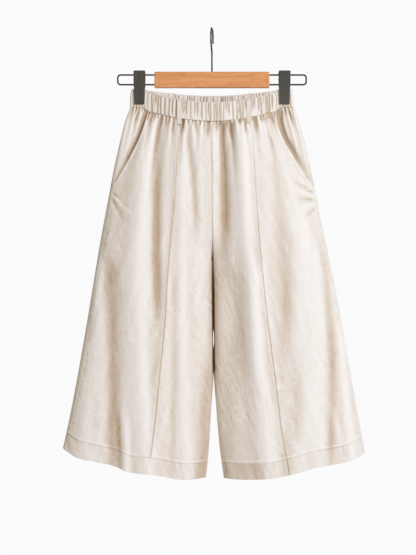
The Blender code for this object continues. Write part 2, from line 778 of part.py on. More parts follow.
# A clip's jaw from top to bottom: its half width, inner face and the edge of its side walls.
JAW = Table("drop half inner wall_edge", (
    (84.0, 10.9, 8.2, 7.6),
    (85.2, 11.7, 8.0, 7.2),
    (88.0, 11.7, 7.5, 2.2),
    (100.0, 11.7, 5.9, 2.2),
    (116.0, 11.6, 4.9, 2.2),
    (118.5, 10.9, 4.7, 4.05),
    (150.2, 10.0, 4.7, 4.05),
    (151.0, 9.7, 4.9, 4.3),
))
JAW_WALL = 1.3 * MM
PIN_RADIUS = 1.9 * MM
PIN_DROP = 101.7 * MM
PIN_PROUD = 0.9 * MM


def make_jaw(side, face, material):
    """Folded channel that presses on the waistband."""
    toward = FACES[face]
    middle = SIDES[side] * CLIP_PLACE
    points = []
    for drop, half, inner, edge in JAW.rows:
        outer = inner + JAW_WALL
        section = (
            (-half, outer), (half, outer), (half, edge), (half - JAW_WALL, edge),
            (half - JAW_WALL, inner), (JAW_WALL - half, inner), (JAW_WALL - half, edge), (-half, edge),
        )
        points += [Vector((middle + x, toward * y, -drop)) for x, y in section]
    size = len(points) // len(JAW.rows)
    faces = [list(range(size)), list(range(len(points) - size, len(points)))]
    for row in range(len(JAW.rows) - 1):
        for k in range(size):
            following = (k + 1) % size
            low, high = row * size, (row + 1) * size
            faces.append([low + k, low + following, high + following, high + k])
    name = f"clip_{side}_{face}"
    return add_object(name, close_mesh(name, points, faces), material, sharp=30.0)


def make_pin(side, material):
    """Sprung pin that the two jaws turn on, between the wires."""
    reach_out = CLIP_HALF + PIN_PROUD
    middle = SIDES[side] * CLIP_PLACE
    route = [(middle + share * reach_out, 0.0, -PIN_DROP) for share in (-1.0, -0.9, 0.9, 1.0)]
    return make_wire(f"clip_{side}_pin", route, PIN_RADIUS, material)


def main():
    for thing in list(bpy.data.objects):
        bpy.data.objects.remove(thing, do_unlink=True)

    cloth = {
        name: make_material(f"twill_{name}", colour, 0.85)
        for name, colour in (
            ("front", (0.71, 0.64, 0.57)),
            ("back", (0.69, 0.62, 0.55)),
            ("hip", (0.66, 0.59, 0.51)),
            ("band", (0.73, 0.66, 0.59)),
            ("loop", (0.74, 0.67, 0.60)),
        )
    }
    for side in SIDES:
        make_front(side, cloth["front"])
        make_back(side, cloth["back"])
        make_hip(side, cloth["hip"])
    for face in FACES:
        make_band(face, cloth["band"])
    for face, places in BELT_LOOPS.items():
        for side, x in zip(SIDES, places):
            make_loop(side, face, x, cloth["loop"])

    wood = make_material("beech", (0.66, 0.27, 0.10), 0.45)
    wire = make_material("brown_wire", (0.06, 0.045, 0.04), 0.4, 0.8)
    clip = make_material("dark_clip", (0.085, 0.075, 0.068), 0.55)
    steel = make_material("steel", (0.45, 0.44, 0.43), 0.3, 1.0)
    make_bar(wood)
    for side, direction in SIDES.items():
        make_wire(f"wire_{side}", wire_route(direction), WIRE_RADIUS, wire, sides=2)
        for face in FACES:
            make_jaw(side, face, clip)
        make_pin(side, steel)
    make_wire("hook", hook_route(), HOOK_WIRE, steel)


main()
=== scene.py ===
"""Looks of wide cropped pull-on trousers that hang from a wooden clip hanger.

Metres, Z up, seen from -Y; left and right are those of that view. The origin is
the inside of the hook's crown. A drop is a distance below the origin. Tables and
sizes are written in millimetres and turned into metres by MM. The cloth follows
the same surface as the solid model, at a finer pitch and with its seams, fine
folds and stitching.
"""

import math

import bpy
import numpy as np
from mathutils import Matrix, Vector


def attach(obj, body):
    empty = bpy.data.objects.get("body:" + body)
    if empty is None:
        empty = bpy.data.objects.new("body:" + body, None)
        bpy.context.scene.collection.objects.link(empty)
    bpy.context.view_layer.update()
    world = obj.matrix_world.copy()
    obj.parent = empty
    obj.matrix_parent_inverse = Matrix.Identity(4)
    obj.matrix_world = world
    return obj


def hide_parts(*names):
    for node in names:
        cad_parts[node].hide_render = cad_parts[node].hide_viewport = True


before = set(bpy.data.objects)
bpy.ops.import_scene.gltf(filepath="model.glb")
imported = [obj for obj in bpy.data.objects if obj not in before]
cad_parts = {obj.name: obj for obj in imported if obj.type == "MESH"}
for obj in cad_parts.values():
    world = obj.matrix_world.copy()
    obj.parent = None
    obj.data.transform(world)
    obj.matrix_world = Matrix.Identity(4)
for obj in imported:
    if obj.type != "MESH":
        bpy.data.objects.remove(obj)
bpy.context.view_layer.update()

MM = 0.001
GAP = 0.3 * MM                  # air between the solids of two pieces that are sewn together

# Cloth
CLOTH = 0.9 * MM                # one layer with its seam allowances
FACING = 1.0 * MM               # extra layer behind a pocket's edge
HEM_LAYERS = 1.2 * MM           # extra layers inside a hem
HEM_SHARE = 0.044               # hem height as a share of a panel's length
HEM_HEIGHT = 32.0 * MM
SIDE_ROUND = 2.2                # power of the rounded edges: 2 is an ellipse
FLAT_DROP = 170.0 * MM          # above here the halves lie as the waistband does
HIPS_DROP = 330.0 * MM          # from here on front and back bow apart as one tube
LEGS_DROPS = (300.0 * MM, 500.0 * MM)   # where that tube turns into two
EDGE_FOLD = 3.0 * MM            # how far in the flattened sides round off

# Waistband: an elastic casing
BAND_REACH = 162.5 * MM         # centre to side seam
BAND_HEIGHT = 37.0 * MM
BAND_TOP = 120.0 * MM           # drop of its top edge at the clips
BAND_HALF = 1.5 * MM            # half its thickness
BAND_SAG = {"front": 29.4 * MM, "back": 12.0 * MM}
BAND_BOW = {"front": 22.0 * MM, "back": 14.0 * MM}
BAND_CLEAR = 0.25 * MM          # inner face to the hanger's mid-plane, at the clips
RIB_PITCH = 7.4 * MM
RIB_IN = 0.5 * MM
BAND_TAPER = 0.018              # share by which the top edge is narrower
SQUEEZE_HALF = 15.0 * MM        # half width of the stretch that a clip flattens
SQUEEZE_EDGE = 5.0 * MM
SQUEEZED = 0.35                 # what is left of the ribs there
PANEL_SEAT = 0.5 * MM           # panel's outer face in front of the casing's middle
PINCH = 0.81                    # share of the reach at which the clips close the halves
SAG_FADE = 17.0 * MM            # distance beside a clip over which the band starts to sag

# Clips and hanger
CLIP_PLACE = 145.0 * MM
CLIP_HALF = 11.7 * MM
WIRE_DROPS = (92.0 * MM, 111.4 * MM)
WIRE_RADIUS = 1.6 * MM
WIRE_CORNER = 6.0 * MM
WIRE_SUNK = 1.0 * MM            # how far the wires' and the hook's ends stand in the bar
WIRE_CORNER_POINTS = 12
HANGER_REACH = 190.0 * MM
BAR_SIZE = (230.0 * MM, 13.0 * MM, 32.0 * MM)
BAR_TOP = 86.0 * MM
BAR_ROUND = 1.6 * MM
HOOK_WIRE = 1.8 * MM            # radius of the hook's wire
HOOK_INNER = 19.7 * MM          # radius of the space inside the hook
HOOK_TURN = 0.1                 # sideways lean of the hook's plane, as a slope
HOOK_TIP_ANGLE = -17
HOOK_NECK_ANGLE = 240
HOOK_STEM_DROP = 56.0 * MM
HOOK_PULL = 8.0 * MM            # how softly the neck bends into the stem
HOOK_ROUND_POINTS = 72
HOOK_NECK_POINTS = 18

# Belt loops
LOOP_WIDTH = 10.0 * MM
LOOP_WALL = 1.3 * MM
LOOP_TAIL = 12.5 * MM           # length below the waistband
LOOP_LIFT = 0.5 * MM            # clear of the band's ribs
LOOP_CLEAR = 0.3 * MM           # clear of the panel below the band
LOOP_DRAW = 1.6 * MM            # how far its tail may lie behind its upper part
BELT_LOOPS = {"front": (-65.0 * MM, 73.0 * MM), "back": (-78.0 * MM, 78.0 * MM)}

# Slant pockets
POCKET_END = 316.0 * MM         # drop where the opening meets the side seam
POCKET_UNDERLAP = 0.11          # share of the width that the hip piece goes under
POCKET_CALM = 0.04              # share of the width over which the valleys fade before it
HIP_INSET = 2.4 * MM            # hip piece behind the front panel's outer face
HIP_RISE = 17.0 * MM            # distance over which it comes level with it
HIP_DIP = {"left": 1.6 * MM, "right": 3.4 * MM}     # how far it gapes behind the pocket's edge
HIP_DIP_PLACE = 6.0 * MM        # how far from that edge it does so most
HIP_SHADOW = {"left": 8.0 * MM, "right": 14.0 * MM}     # width of the shadow in the opening
POCKET_STITCH = {"left": 6.5 * MM, "right": 9.0 * MM}   # topstitching from the pocket's edge

# Seams
CROTCH_DROPS = (372.0 * MM, 486.0 * MM)     # where the centre seam starts and ends its turn under
BACK_SEAM_INSET = 8.0 * MM      # how far in from the outline a back's side stitching lies
SIDE_STITCH_TOP = {"front": 334.0 * MM, "back": 175.0 * MM}
SIDE_STITCH_END = 845.0 * MM


def smooth_read(places, values, place):
    """Cubic curve through a few points, flat beyond its ends."""
    places = np.asarray(places, dtype=float)
    values = np.asarray(values, dtype=float)
    slopes = np.gradient(values, places)
    k = np.clip(np.searchsorted(places, place) - 1, 0, len(places) - 2)
    step = places[k + 1] - places[k]
    t = np.clip((place - places[k]) / step, 0.0, 1.0)
    ahead = t * t * (3.0 - 2.0 * t)
    start = slopes[k] * step * t * (1.0 - t) ** 2
    end = slopes[k + 1] * step * t * t * (t - 1.0)
    return values[k] * (1.0 - ahead) + values[k + 1] * ahead + start + end


def smooth_step(t):
    """0 up to 0, 1 from 1 on, and a soft step between."""
    t = np.clip(t, 0.0, 1.0)
    return t * t * (3.0 - 2.0 * t)


def rise(value, start, span):
    """0 up to `start`, then softly up to 1 over `span`."""
    return smooth_step((value - start) / span)


def fall(value, end, span):
    """1 until `span` before `end`, then softly down to 0."""
    return smooth_step((end - value) / span)


def bump(distance, width):
    """1 at no distance, falling to 0 over a few widths."""
    return np.exp(-(distance / width) ** 2)


class Table:
    """Rows of sizes under named columns, written in millimetres."""

    def __init__(self, names, rows):
        self.names = names.split()
        self.rows = np.array(rows, dtype=float) * MM

    def __getitem__(self, name):
        return self.rows[:, self.names.index(name)]

    def at(self, name, place):
        """Column `name`, read at a place in the first column."""
        return smooth_read(self.rows[:, 0], self[name], place)


class Noise:
    """Soft uneven heights between -1 and 1, the same in every run."""

    def __init__(self, seed, size=97):
        self.size = size
        self.heights = np.random.default_rng(seed).uniform(-1.0, 1.0, (size, size))

    def over(self, x, drop, pitch, shift=0.0):
        """Height at a point of the cloth, for a pitch across and a pitch along."""
        return self(x / pitch[0] + shift, drop / pitch[1])

    def __call__(self, u, v):
        """Height at a place in the grid, softly between its numbers."""
        row, column = np.floor(u).astype(int), np.floor(v).astype(int)
        s, t = smooth_step(u - row), smooth_step(v - column)
        size = self.size
        above = self.heights[row % size, column % size] * (1.0 - t)
        above = above + self.heights[row % size, (column + 1) % size] * t
        below = self.heights[(row + 1) % size, column % size] * (1.0 - t)
        below = below + self.heights[(row + 1) % size, (column + 1) % size] * t
        return above * (1.0 - s) + below * s


# How wide the garment hangs at each drop, and the gap between its legs.
OUTLINE = Table("drop left right centre leg_gap", (
    (157, 164, 165, 0, 0.3),
    (186, 174, 174, -1, 0.3),
    (226, 184, 186, -1, 0.3),
    (274, 195, 196, 0, 0.3),
    (322, 204, 206, 0, 0.3),
    (418, 222, 226, 1, 0.3),
    (514, 238, 246, 2, 0.8),
    (610, 254, 264, 3, 1.2),
    (706, 271, 280, 3.5, 4.5),
    (802, 290, 298, 4, 16),
    (850, 301, 307, 5, 24),
    (900, 312, 318, 6, 36),
))

# How far the middle of each face stands from the hanger's mid-plane.
DEPTH = Table("drop front back", (
    (157, 22, 14),
    (190, 23, 15),
    (230, 29, 21),
    (290, 34, 29),
    (370, 38, 35),
    (456, 40, 38),
    (600, 38, 37),
    (750, 37, 37),
    (900, 40, 39),
))

# How the inseam's front and back stand off from its middle line.
INSEAM = Table("drop front back", (
    (400, 0, 0),
    (456, 0.35, -0.1),
    (500, 0.75, -0.35),
    (560, 0.75, -0.45),
    (600, 0.5, -0.5),
    (620, 0.2, 0.5),
    (640, 0.3, -0.9),
    (690, 0.1, -1.5),
    (720, 0, -1.0),
    (745, 0, 0),
))

# Drop of the hem's lower edge: `place` is thousandths of a leg's width.
HEM = Table("place left right", (
    (0, 896, 898),
    (150, 898, 898),
    (350, 887, 893),
    (550, 879, 880),
    (620, 871, 874),
    (750, 862, 868),
    (900, 853, 859),
    (1000, 838, 846),
))

# Pocket opening: `place` is thousandths of the half width.
POCKET = Table("drop left right", (
    (165, 762, 762),
    (186, 766, 750),
    (219, 797, 770),
    (250, 846, 831),
    (284, 911, 908),
    (308, 970, 970),
    (316, 1000, 1000),
))

# The stitched tuck's distance from the centre, on each front.
TUCK = Table("drop left right", (
    (186, 68, 80),
    (300, 73, 84),
    (450, 86, 95),
    (600, 96, 111),
    (700, 106, 124),
    (800, 116, 136),
    (890, 127, 152),
))

# How far in from the outline the side seam shows on each front.
SIDE_SEAM = Table("drop left right", (
    (330, 12, 4),
    (390, 11, 5),
    (470, 8, 7),
    (570, 5, 6),
    (670, 12, 8),
    (750, 9, 8),
    (820, 9, 6),
    (900, 9, 6),
))

# Main folds as lines down the cloth; a positive depth is a ridge, a negative a valley.
FOLD_COLUMNS = "x_top top x_mid mid x_low low width depth"
FRONT_FOLDS = Table(FOLD_COLUMNS, (
    (-130, 110, -148, 480, -122, 990, 20, 7),
    (-97, 110, -110, 342, -106, 620, 11, -6),
    (-204, 430, -198, 590, -202, 990, 17, -5.5),
    (-226, 440, -242, 690, -262, 990, 14, 2.4),
    (-64, 230, -60, 440, -48, 990, 13, 3),
    (-56, 160, -36, 330, -32, 460, 8, -5),
    (-76, 460, -76, 680, -84, 990, 9, -2.2),
    (-187, 740, -184, 820, -180.5, 990, 4.5, -3),
    (-176, 740, -172, 820, -168, 990, 8, 3),
    (20, 140, 24, 300, 24, 480, 14, -11.5),
    (10, 160, 8, 360, 14, 560, 26, -4.5),
    (30, 440, 34, 640, 42, 990, 30, -4.5),
    (38, 110, 36, 210, 32, 270, 5, -4),
    (56, 110, 69, 400, 88, 760, 16, 8),
    (80, 440, 92, 640, 126, 990, 24, 7.5),
    (104, 150, 138, 410, 150, 660, 17, -3.5),
    (168, 330, 194, 560, 176, 990, 26, 3.5),
    (218, 400, 236, 620, 231, 990, 11, -2.8),
    (256, 560, 270, 740, 288, 990, 11, 3),
))
BACK_FOLDS = Table(FOLD_COLUMNS, (
    (-20, 110, -27, 300, -34, 520, 9, -5),
    (-112, 300, -128, 600, -136, 990, 20, 6),
    (-70, 260, -76, 560, -84, 990, 16, -6),
    (-184, 330, -204, 600, -212, 990, 17, -7),
    (-236, 520, -252, 720, -262, 990, 15, 5),
    (24, 130, 30, 330, 36, 560, 9, -5.5),
    (52, 300, 66, 560, 74, 990, 17, 6),
    (98, 260, 118, 560, 128, 990, 17, -7),
    (160, 330, 186, 600, 196, 990, 20, 6.5),
    (206, 420, 226, 640, 244, 990, 14, -6),
))

# Gathers under the waistband: where each valley starts, its width, depth and length.
GATHER_COLUMNS = "place width depth length"
FRONT_GATHERS = Table(GATHER_COLUMNS, (
    (-154, 4, 5, 56),
    (-143, 4, 6, 68),
    (-131, 3, 3.6, 34),
    (-116, 4.5, 5, 52),
    (-98, 5, 7, 110),
    (-83, 4, 4, 28),
    (-70, 4, 5, 40),
    (-56, 4.5, 7, 70),
    (-41, 4, 3.4, 26),
    (-26, 4, 5.5, 44),
    (-14, 4, 4.4, 30),
    (-2, 4, 3.6, 40),
    (18, 5, 8, 84),
    (36, 4.5, 8.5, 76),
    (50, 3.5, 3.4, 28),
    (62, 4, 5, 40),
    (80, 4.5, 5, 46),
    (92, 3, 3, 22),
    (104, 4.5, 6.5, 66),
    (116, 4, 3.6, 30),
    (128, 4, 5, 44),
    (140, 3.5, 6, 60),
    (151, 4, 6, 76),
))
GATHER_PUFF = 4.2 * MM          # how far the cloth stands out between the gathers
GATHER_REACH = 85.0 * MM
GATHER_START = 0.50             # their share of full height at the seam itself
GATHER_GROWTH = 15.0 * MM       # distance below it over which they grow
GATHER_EDGE = 8.0 * MM          # where they end before the side seam
BAND_HOLD = 9.0 * MM            # distance below the band over which folds reach their depth
BACK_GATHER_COUNT = 20

FOLD_FADE_IN = 70.0 * MM
FOLD_FADE_OUT = 110.0 * MM
FOLD_ROOM = 14.0 * MM           # depth of cloth below which folds are made shallower
FOLD_AT_BAND = 0.25             # their share of full depth at the band itself

# Short creases in the fronts, from one end to the other; they fade towards the second end.
CREASES = Table("x drop x_end drop_end width depth", (
    (-198, 330, -156, 370, 4, -2.4),
    (-196, 338, -166, 352, 4, 1.6),
    (-198, 346, -168, 396, 4.5, -2.2),
    (-192, 340, -146, 388, 5, 1.8),
    (200, 326, 152, 300, 4.5, -3.2),
    (204, 334, 156, 322, 4, 2.2),
    (200, 342, 160, 338, 4, -2.4),
    (202, 350, 166, 362, 4.5, 1.8),
    (202, 362, 176, 384, 4.5, -1.6),
))


def back_gathers():
    """Gathers of the back, spaced and sized by a rule of uneven steps."""
    furthest, width, depth, length = 152, 4.6, 3.4, 55
    rows = []
    for k in range(BACK_GATHER_COUNT):
        along = (k + 0.5) / BACK_GATHER_COUNT * 2.0 - 1.0
        uneven = math.sin(2.4 * k)
        longer = math.sin(3.9 * k)
        rows.append((along * furthest + 3 * uneven, width, depth + 1.1 * uneven, length + 28 * longer))
    return Table(GATHER_COLUMNS, rows)


GATHERS = {"front": FRONT_GATHERS, "back": back_gathers()}
FOLDS = {"front": FRONT_FOLDS, "back": BACK_FOLDS}
SIDES = {"left": -1.0, "right": 1.0}
FACES = {"front": -1.0, "back": 1.0}


def sag(x):
    """How a waistband half hangs between the clips: 1 in the middle, 0 from under a clip on."""
    between = fall(np.abs(x), CLIP_PLACE - 2.0 * MM, SAG_FADE)
    return between * np.clip(1.0 - (x / BAND_REACH) ** 2, 0.0, 1.0) ** 1.4


def pinch(place):
    """How a waistband half bows between the clips: 1 in the middle, 0 from the clips on."""
    return np.clip(1.0 - (place / PINCH) ** 2, 0.0, 1.0) ** 1.3


def band_seam(face, x):
    """Drop of the seam under the waistband."""
    return BAND_TOP + BAND_HEIGHT + BAND_SAG[face] * sag(x)


def waist_x(side, place):
    """Where the cloth at a place starts along the waistband."""
    return SIDES[side] * place * BAND_REACH


def below_band(side, face, place, drop):
    """Distance below the waistband's seam."""
    return drop - band_seam(face, waist_x(side, place))


def reach(side, drop):
    """Distance from the centre to the outline."""
    return OUTLINE.at(side, drop)


def inner_edge(side, drop):
    """The centre seam's x, or the inseam's below the crotch."""
    return OUTLINE.at("centre", drop) + SIDES[side] * OUTLINE.at("leg_gap", drop) / 2.0


def cloth_x(side, place, drop):
    """Place 0 is the centre seam or inseam, place 1 the side seam."""
    inner = inner_edge(side, drop)
    return inner + (SIDES[side] * reach(side, drop) - inner) * place


def place_at(side, x, drop):
    """The place across a panel at a given x."""
    inner = inner_edge(side, drop)
    return (x - inner) / (SIDES[side] * reach(side, drop) - inner)


def from_side_seam(side, place, drop):
    """Distance in from the outline."""
    return (1.0 - place) * reach(side, drop)


def cloth_drop(side, face, place, share):
    """Drop at a share of the way from the waistband's seam to the hem."""
    top = band_seam(face, place * OUTLINE["left"][0]) + GAP
    hem = HEM.at(side, place)
    return top + (hem - top) * share


def rounded(share):
    """Height of a rounded edge: 1 at share 0, 0 at share 1."""
    return (1.0 - np.clip(share, 0.0, 1.0) ** SIDE_ROUND) ** (1.0 / SIDE_ROUND)


def crotch_height(drop):
    """1 on the centre seam, falling to 0 where it turns under to the crotch."""
    start, end = CROTCH_DROPS
    return 1.0 - rise(drop, start, end - start) ** 1.5


def base_depth(side, face, place, drop):
    """Outer face's distance from the mid-plane, without folds."""
    tube = rise(drop, FLAT_DROP, HIPS_DROP - FLAT_DROP)
    legs = rise(drop, LEGS_DROPS[0], LEGS_DROPS[1] - LEGS_DROPS[0])
    around = rounded(place) * (1.0 - legs) + rounded(2.0 * place - 1.0) * legs
    around = pinch(place) * (1.0 - tube) + around * tube
    seam = 1.0 - crotch_height(drop) ** SIDE_ROUND
    inner_half = np.clip(1.0 - 2.0 * place, 0.0, 1.0)
    inseam = (1.0 - seam * inner_half ** SIDE_ROUND) ** (1.0 / SIDE_ROUND)
    edge = np.clip(1.0 - from_side_seam(side, place, drop) / EDGE_FOLD, 0.0, 1.0)
    flat = (BAND_CLEAR + BAND_HALF + PANEL_SEAT) * (1.0 - tube) * np.sqrt(1.0 - edge ** 2)
    return GAP / 2.0 + flat + (DEPTH.at(face, drop) - flat) * around * inseam


def fold_depth(face, x, drop):
    """Main folds, as a distance outward."""
    total = np.zeros_like(x)
    for x_top, top, x_mid, mid, x_low, low, width, depth in FOLDS[face].rows:
        line = smooth_read((top, mid, low), (x_top, x_mid, x_low), drop)
        shown = rise(drop, top, FOLD_FADE_IN) * fall(drop, low, FOLD_FADE_OUT)
        total = total + depth * shown * bump(x - line, width)
    return total


def gather_depth(side, face, place, drop):
    """Puffed cloth between short valleys that fan out from the waistband."""
    at_waist = waist_x(side, place)
    below = np.maximum(below_band(side, face, place, drop), 0.0)
    grown = GATHER_START + (1.0 - GATHER_START) * smooth_step(below / GATHER_GROWTH)
    total = GATHER_PUFF * grown * np.exp(-(below / GATHER_REACH) ** 1.5)
    for start, width, depth, length in GATHERS[face].rows:
        shown = grown * np.exp(-(below / length) ** 1.5)
        total = total - depth * shown * bump(at_waist - start, width)
    return total * smooth_step(from_side_seam(side, place, drop) / GATHER_EDGE)


def relief(side, face, place, x, drop):
    """Folds and gathers, as a distance outward; the waistband's seam holds them flat."""
    room = smooth_step(base_depth(side, face, place, drop) / FOLD_ROOM)
    freed = rise(below_band(side, face, place, drop), -1.0 * MM, BAND_HOLD)
    held = FOLD_AT_BAND + (1.0 - FOLD_AT_BAND) * freed
    return held * (fold_depth(face, x, drop) * room + gather_depth(side, face, place, drop))


def over_pocket(side, place, drop):
    """1 where a front panel lies over the hip piece, 0 elsewhere."""
    nearness = (place - pocket_place(side, drop) + POCKET_UNDERLAP + POCKET_CALM) / POCKET_CALM
    return smooth_step(nearness) * fall(drop, POCKET_END + 40.0 * MM, 30.0 * MM)


def cloth_depth(side, face, place, x, drop):
    """Outer face's distance from the mid-plane, with folds and gathers."""
    base = base_depth(side, face, place, drop)
    raised = relief(side, face, place, x, drop)
    if face == "front":
        raised = np.maximum(raised, raised * (1.0 - over_pocket(side, place, drop)))
    return np.maximum(base + raised, np.minimum(base, CLOTH + 2.0 * GAP))


def tuck_line(side, drop):
    """Distance of the stitched tuck from the centre; it wavers a little."""
    waver = 0.5 * TUCK_WAVER(drop / (17.0 * MM), np.full_like(drop, SIDES[side] + 1.5))
    return TUCK.at(side, drop) + waver * MM


def tuck_place(side, drop):
    """The tuck's place across its panel."""
    return place_at(side, SIDES[side] * tuck_line(side, drop), drop)


def pocket_line(side, drop):
    """Place of the pocket's edge, carried on past its lower end."""
    return POCKET.at(side, drop) / MM / 1000.0


def pocket_place(side, drop):
    """Place of the pocket's edge, and of the side seam below it."""
    return np.where(drop < POCKET_END, pocket_line(side, drop), 1.0)


def side_seam_inset(side, face, drop):
    """How far in from the outline the side stitching lies."""
    return SIDE_SEAM.at(side, drop) if face == "front" else np.full_like(drop, BACK_SEAM_INSET)


def base_point(side, face, place, drop):
    """Point of the unfolded surface."""
    x = cloth_x(side, place, drop)
    y = FACES[face] * base_depth(side, face, place, drop)
    return np.stack([x, y, -drop], axis=-1)


def base_normal(side, face, place, drop):
    """Outward direction of the unfolded surface."""
    step = 1e-4
    low = np.clip(place - step, 0.0, 1.0)
    high = np.clip(place + step, 0.0, 1.0)
    across = base_point(side, face, high, drop) - base_point(side, face, low, drop)
    down = base_point(side, face, place, drop + step) - base_point(side, face, place, drop - step)
    normal = np.cross(across, down)
    normal /= np.linalg.norm(normal, axis=-1, keepdims=True)
    return normal * SIDES[side] * FACES[face]


# ---- Fine relief of the cloth, which the solids leave out ----

LONG_WAVES, SOFT_WAVES, CRUMPLE, RIPPLE = Noise(11), Noise(12), Noise(13), Noise(14)
TUCK_WAVER = Noise(15)
LONG_PITCH = (24.0 * MM, 150.0 * MM)    # of each kind of relief, across and along
PATCH_PITCH = (38.0 * MM, 55.0 * MM)
SOFT_PITCH = (10.0 * MM, 60.0 * MM)
COARSE_PITCH = (9.0 * MM, 30.0 * MM)
SMALL_PITCH = (4.6 * MM, 13.0 * MM)
HIP_PITCH = (7.0 * MM, 38.0 * MM)
CRUMPLE_TURN = (0.91, 0.41)     # about the cosine and sine of the wrinkles' slope
WAVES_GROW = {"start": 300.0 * MM, "span": 250.0 * MM}      # where they grow higher down the legs
CENTRE_GROOVE = {"depth": 0.9 * MM, "pucker": 0.3 * MM}
SIDE_GROOVE = {"depth": 0.6 * MM, "pucker": 0.7 * MM}
POCKET_GROOVE = {"depth": 0.8 * MM, "pucker": 0.6 * MM}
FINE_CALM = 4.0 * MM            # depth of cloth below which the fine relief fades
INSEAM_WIDTH = 12.0 * MM        # how far from it the cloth follows the inseam's wander
NOISE_SHIFT = {"front": 0.0, "back": 31.0, "left": 0.0, "right": 13.0}  # so that no two panels match
RIB_SEEDS = {"front": 27, "back": 22}
RIB_MARGIN = 4.0 * MM           # from the ends of the band
RIB_CREST = 0.8 * MM
RIB_DEEPENS = 0.5               # share of the band's height over which a valley comes to its depth
TICK_DEPTH = 1.6 * MM
TICK_WIDTH = 1.2 * MM


def rib_valleys(face):
    """Uneven valleys of the gathered casing.

    Each has a place, width, depth and lean, the height from which it runs up, as a share
    of the band's, and how far it goes on as a pleat below the band.
    """
    draw = np.random.default_rng(RIB_SEEDS[face])
    rows = []
    x = -BAND_REACH + RIB_MARGIN
    while x < BAND_REACH - RIB_MARGIN:
        rows.append((
            x, draw.uniform(1.2, 2.1) * MM, draw.uniform(1.4, 3.4) * MM,
            draw.uniform(-1.8, 1.8) * MM, draw.uniform(-1.15, 0.35), draw.uniform(8.0, 26.0) * MM,
        ))
        x += RIB_PITCH * draw.choice((0.4, 0.55, 0.7, 0.9, 1.15))
    return rows


RIBS = {face: rib_valleys(face) for face in FACES}
CLIP_TICKS = np.array([-9.5, -4.6, 0.8, 6.4, 11.0]) * MM    # fine gathers under a clip, from its middle


def pleats(face, at_waist, below):
    """Small pleats under the waistband, where its valleys run on into the panel."""
    total = np.zeros_like(at_waist)
    for x, width, depth, _, _, length in RIBS[face]:
        shown = np.exp(-(np.maximum(below, 0.0) / length) ** 2)
        spread = width * (1.0 + 0.7 * np.clip(below / length, 0.0, 1.0))
        total = total - 1.1 * depth * shown * bump(at_waist - x, spread)
    return total


def creases(x, drop):
    """Short creases below the pockets, as a distance outward."""
    total = np.zeros_like(x)
    for x0, drop0, x1, drop1, width, depth in CREASES.rows:
        along_x, along_z = x1 - x0, drop1 - drop0
        length2 = along_x ** 2 + along_z ** 2
        t = np.clip(((x - x0) * along_x + (drop - drop0) * along_z) / length2, 0.0, 1.0)
        away = np.hypot(x - x0 - t * along_x, drop - drop0 - t * along_z)
        total = total + depth * bump(away, width * (0.6 + 0.6 * t)) * (1.0 - smooth_step(t)) ** 0.7
    return total


def seam_groove(away, along, seed, depth, pucker):
    """A stitched line: a narrow groove with small puckers beside it."""
    wave = RIPPLE(along / (4.4 * MM), away / (9.0 * MM) + seed)
    return pucker * wave * bump(away, 6.5 * MM) - depth * bump(away, 1.1 * MM)


def above_hem(side, place, drop):
    """Distance above the hem's stitching."""
    return HEM.at(side, place) - drop - HEM_HEIGHT


def crumple(x, drop, seed, pitch):
    """Short steep wrinkles that run down to the right, from -0.5 to 0.5."""
    cosine, sine = CRUMPLE_TURN
    ridge = 1.0 - np.abs(CRUMPLE.over(cosine * x - sine * drop, sine * x + cosine * drop, pitch, seed))
    return ridge ** 2 - 0.5


def hem_relief(side, place, x, drop, seed):
    """The stitched hem: a groove, the puffed cloth above it and a puckered band below."""
    above = above_hem(side, place, drop)
    band = fall(above, 1.0 * MM, 2.0 * MM)
    groove = bump(above, 1.0 * MM)
    puff = bump(above - 3.0 * MM, 2.2 * MM)
    puckers = RIPPLE((x + 0.25 * above) / (6.0 * MM) + seed, above / (40.0 * MM))
    puckered = (0.65 * band + 0.35 * bump(above - 3.0 * MM, 5.0 * MM)) * puckers
    return (0.75 * puff - 0.9 * groove - 0.35 * band + puckered) * MM


def wave_relief(side, x, drop, seed):
    """Soft waves and short crumples, which grow down the legs."""
    lower = rise(drop, **WAVES_GROW)
    leaning = x - SIDES[side] * 0.3 * drop
    patchy = 1.0 + 1.1 * LONG_WAVES.over(x, drop, PATCH_PITCH, seed + 5)
    waves = (0.6 + 0.7 * lower) * LONG_WAVES.over(x, drop, LONG_PITCH, seed)
    waves = waves + 0.45 * SOFT_WAVES.over(leaning, drop, SOFT_PITCH, seed)
    waves = waves + (0.24 + 0.18 * lower) * patchy * crumple(x, drop, seed, COARSE_PITCH)
    waves = waves + (0.25 + 0.11 * lower) * patchy * crumple(x, drop, seed + 50, SMALL_PITCH)
    return waves * MM


def pocket_relief(side, place, drop, seed):
    """The pocket's topstitching: a groove with puckers between it and the edge."""
    line = POCKET_STITCH[side]
    edge = (pocket_place(side, drop) - place) * reach(side, drop)
    ticks = RIPPLE(drop / (2.6 * MM), np.full_like(drop, seed + 7.5))
    puckers = POCKET_GROOVE["pucker"] * ticks * bump(edge - line * 0.6, line * 0.5)
    groove = POCKET_GROOVE["depth"] * bump(edge - line, 0.9 * MM)
    return (puckers - groove) * fall(drop, POCKET_END + 4.0 * MM, 8.0 * MM)


